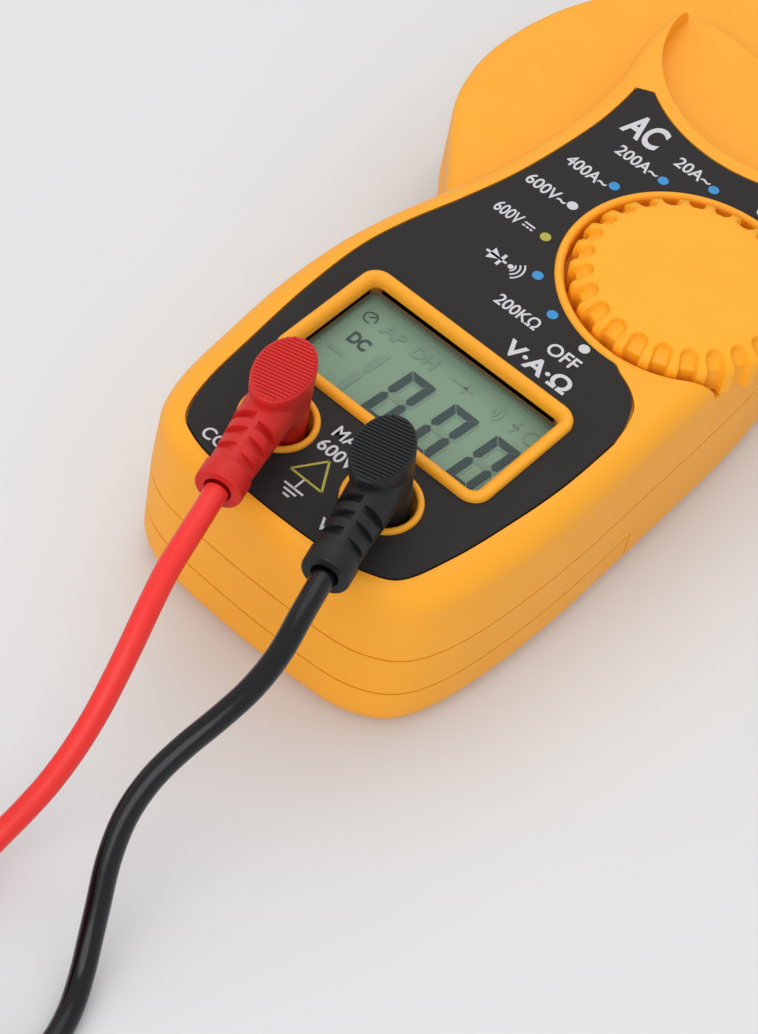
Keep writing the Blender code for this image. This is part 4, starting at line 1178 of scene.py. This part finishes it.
def plug(colour, x, looks):
    """Right-angled plug: ribbed oval head, stem into the jack and slotted strain relief."""
    ahead = Vector((math.sin(LEAD_TURN), -math.cos(LEAD_TURN), 0))
    side = Vector((math.cos(LEAD_TURN), math.sin(LEAD_TURN), 0))
    centre = Vector((x, JACK_Y, 0))

    def oval(z, width, length, shift=0.0):
        ring = []
        for k in range(56):
            angle = math.tau * k / 56
            aside = PLUG_TILT[colour] * (z - PLUG_FOOT_Z) / (PLUG_TOP_Z - PLUG_FOOT_Z)
            p = centre + ahead * (shift + length * math.sin(angle)) + side * (aside + width * math.cos(angle))
            ring.append((p.x, p.y, z))
        return ring

    head = [
        (PLUG_FOOT_Z, 3.85, 3.9), (32.5, 3.95, 4.3, 0.1), (34.0, 4.02, 4.8, 0.4), (36.0, 4.1, 5.4, 0.75),
        (38.5, 4.15, 5.85, 1.0), (40.5, 4.2, 6.2, 1.1), (42.0, 4.2, 6.4, 1.2), (42.4, 4.15, 6.35, 1.2),
        (42.6, 3.95, 6.1, 1.2),
    ]
    work = solid(add_loft(blank(), [oval(*h) for h in head]))
    join(work, disc(x, JACK_Y, PLUG_STEM_R, 24.8, 33.0))
    relief = [
        (0.5, 3.6), (5.0, 3.7), (8.0, 3.65), (12.0, 3.4), (16.8, 3.15), (17.2, 3.2), (17.5, 3.5),
        (RELIEF_LENGTH - 0.5, 3.5), (RELIEF_LENGTH - 0.15, 3.4), (RELIEF_LENGTH, 3.2),
    ]
    join(work, add_spindle(blank(), (x, JACK_Y, RELIEF_Z), ahead, relief))
    for row in range(3):
        for turn, shift in ((-42, 0.0), (48, 1.2), (138, 0.0), (-132, 1.2)):
            cut(work, slot_cutter(centre, ahead, side, 8.6 + 2.9 * row + shift, turn))
    cut(work, add_spindle(blank(), centre + ahead * (RELIEF_LENGTH - 2.5) + Vector((0, 0, RELIEF_Z)), ahead,
                          [(0, 1.9), (4, 2.1)]))
    body = taken(work)
    ribs = rib_outline(centre + ahead * PLUG_LEAN + side * PLUG_TILT[colour], ahead, side)
    for ring in ribs:
        add_loft(body, ring)
    piece = publish(f"plug_{colour}_body", body, looks[colour], "case", [f"plug_{colour}"])
    return soften(piece, 0.22, 2, 50)


def slot_cutter(centre, ahead, side, distance, turn):
    """A short notch across the strain relief; turn is measured from straight up."""
    angle = math.radians(turn)
    out = side * math.sin(angle) + Vector((0, 0, 1)) * math.cos(angle)
    across = ahead.cross(out)
    middle = centre + ahead * distance + Vector((0, 0, RELIEF_Z))
    corners = []
    for along in (0.0, 1.45):
        ring = []
        for u, v in ((-2.2, 2.6), (2.2, 2.6), (2.8, 6.0), (-2.8, 6.0)):
            ring.append(tuple(middle + ahead * along + across * u + out * v))
        corners.append(ring)
    return add_loft(blank(), corners)


def rib_outline(centre, ahead, side):
    """Ribs across the plug's oval top, one closed bar each, as pairs of end rings."""
    half_length, half_width = 5.95, 3.85
    pitch = 2 * half_length / PLUG_RIBS
    bars = []
    for i in range(PLUG_RIBS):
        middle = -half_length + pitch * (i + 0.5)
        reach = half_width * math.sqrt(max(0.0, 1 - (middle / half_length) ** 2))
        if reach < 0.6:
            continue
        section = []
        for k in range(9):
            angle = math.pi * k / 8
            section.append((middle - pitch * 0.40 * math.cos(angle), 42.55 + 0.36 * math.sin(angle)))
        section += [(middle + pitch * 0.40, 42.3), (middle - pitch * 0.40, 42.3)]
        ends = []
        for u in (-reach, reach):
            ends.append([tuple(centre + ahead * s + side * u + Vector((0, 0, z))) for s, z in section])
        bars.append(ends)
    return bars


def coil_points(base, start_angle, start_r, turns):
    """Put-away turns, clockwise seen from above: three lanes below and two above."""
    low = base + LEAD_R
    lane = 2 * LEAD_R
    points = []
    count = round(turns * 30)
    for i in range(count + 1):
        t = turns * i / count
        angle = math.radians(start_angle) - math.tau * t
        r = COIL_R + lane
        r += (start_r - r) * (1 - ease(t / 0.15))
        r -= lane * (ease((t - 0.86) / 0.14) + ease((t - 1.86) / 0.14))
        rise = ease((t - 2.62) / 0.16)
        r += 0.5 * lane * rise
        z = low + 0.866 * lane * rise + 0.35 * math.sin(math.pi * rise)
        if t > 2.78:
            r += lane * ease((t - 3.44) / 0.16)
            z += 0.134 * lane * (bump(t, 2.93) + bump(t, 3.93) + bump(t, 3.52))
        points.append((COIL_CENTRE[0] + r * math.cos(angle), COIL_CENTRE[1] + r * math.sin(angle), z))
    return points


def ease(t):
    t = min(1.0, max(0.0, t))
    return t * t * (3 - 2 * t)


def bump(t, middle, reach=0.14):
    away = abs(t - middle) / reach
    return 1 - ease(away)


def polar(angle, r, z):
    a = math.radians(angle)
    return (COIL_CENTRE[0] + r * math.cos(a), COIL_CENTRE[1] + r * math.sin(a), z)


def even_points(points, spacing):
    """Evenly spaced points along a fine line."""
    fine = [Vector(p) for p in smooth_open(points, 6)]
    run = [0.0]
    for a, b in zip(fine, fine[1:]):
        run.append(run[-1] + (b - a).length)
    count = round(run[-1] / spacing)
    result, k = [], 0
    for i in range(count + 1):
        want = run[-1] * i / count
        while k < len(run) - 2 and run[k + 1] < want:
            k += 1
        result.append(fine[k].lerp(fine[k + 1], (want - run[k]) / (run[k + 1] - run[k])))
    return result, run[-1]


def lead(colour, looks):
    x, route, tail, base, angle, start_r, turns, hump = LEADS[colour]
    body = plug(colour, x, looks)
    points = list(route) + coil_points(base, angle, start_r, turns) + [polar(*hump)] + list(tail)
    line, length = even_points(points, 1.6)
    curve = bpy.data.curves.new(f"lead_{colour}", "CURVE")
    curve.dimensions = "3D"
    curve.bevel_depth = LEAD_R * MM
    curve.bevel_resolution = 6
    curve.use_fill_caps = True
    spline = curve.splines.new("POLY")
    spline.points.add(len(line) - 1)
    for place, point in zip(spline.points, line):
        place.co = (*(point * MM), 1)
    spline.use_smooth = True
    curve.materials.append(looks[f"{colour}_wire"])
    wire = add_object(f"lead_{colour}", curve)
    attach(wire, "case")
    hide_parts(f"cord_{colour}", f"coil_{colour}", f"cord_{colour}_end")
    probe_body = probe(colour, looks)
    pieces = [body, probe_body, f"probe_tip_{colour}", f"plug_pin_{colour}"]
    return wire, line[0], length, pieces


def probe(colour, looks):
    """Probe handle with grip rings and a finger guard."""
    x, y = PROBES[colour]
    profile = [(0.3, 2.3), (0.6, 2.7)]
    for k in range(5):
        start = 1.6 + 2.0 * k
        r = 2.8 + 0.12 * k
        profile += [(start, r), (start + 0.3, r - 0.45), (start + 0.9, r - 0.45), (start + 1.2, r)]
    profile += [(12.0, 4.0), (14.0, 4.7), (17.0, 5.0)]
    for k in range(14):
        start = 24 + 2.2 * k
        r = 5.15 - 0.25 * math.sin(math.pi * k / 13)
        profile += [(start, r), (start + 0.4, r - 0.4), (start + 0.9, r - 0.4), (start + 1.3, r)]
    profile += [
        (57.0, 5.0), (58.5, 5.0), (59.6, 5.3), (60.4, 5.5), (61.6, 5.5), (62.4, 5.3), (63.2, 4.6),
        (65.0, 4.2), (74.0, 3.4), (79.0, 2.9), (79.7, 2.6), (PROBE_LENGTH, 2.2), (PROBE_LENGTH, 1.1),
        (76.0, 1.05),
    ]
    shape = add_spindle(blank(), (x, y, PROBE_Z), (0, 1, 0), profile, 48)
    return publish(
        f"probe_{colour}_handle", shape, looks[colour], "case", [f"probe_{colour}"]
    )


def tie(looks):
    """Soft strap round both coils."""
    half = 3 * LEAD_R
    top = BLACK_COIL_Z + COIL_HEIGHT
    r0, r1 = COIL_R - half, COIL_R + half
    turn = Matrix.Rotation(math.radians(80), 4, "Z")
    shift = Matrix.Translation(Vector((*COIL_CENTRE, 0)))
    shape = blank()
    outer = rounded_box(r0 - 0.85, 0.1, r1 + 0.85, top + 0.9, 1.6, 6)
    inner = rounded_box(r0 - 0.3, 0.65, r1 + 0.3, top + 0.35, 1.1, 6)
    rings = []
    for outline, width in ((outer, -2.3), (outer, 2.3), (inner, 2.5), (inner, -2.5)):
        rings.append([tuple(shift @ turn @ Vector((r, width, z))) for r, z in outline])
    add_loft(shape, rings, closed=True)
    piece = publish("coil_strap", shape, looks["strap"], "case", ["coil_tie"])
    return soften(piece, 0.15, 2)


def leads(looks):
    strap = tie(looks)
    for colour in LEADS:
        wire, start, length, pieces = lead(colour, looks)
        if colour == "red":
            pieces.append(strap)


# -------- assembly


def main():
    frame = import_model()
    make_stage()
    looks = make_looks()
    leads(looks)
    dress_carried(frame["nodes"], looks)
    front_cover(looks)
    rear_cover(looks)
    battery_cover(looks)
    panel(looks)
    lcd_digits(looks)
    dial(looks)
    hold_button(looks)
    jaws(looks)


main()
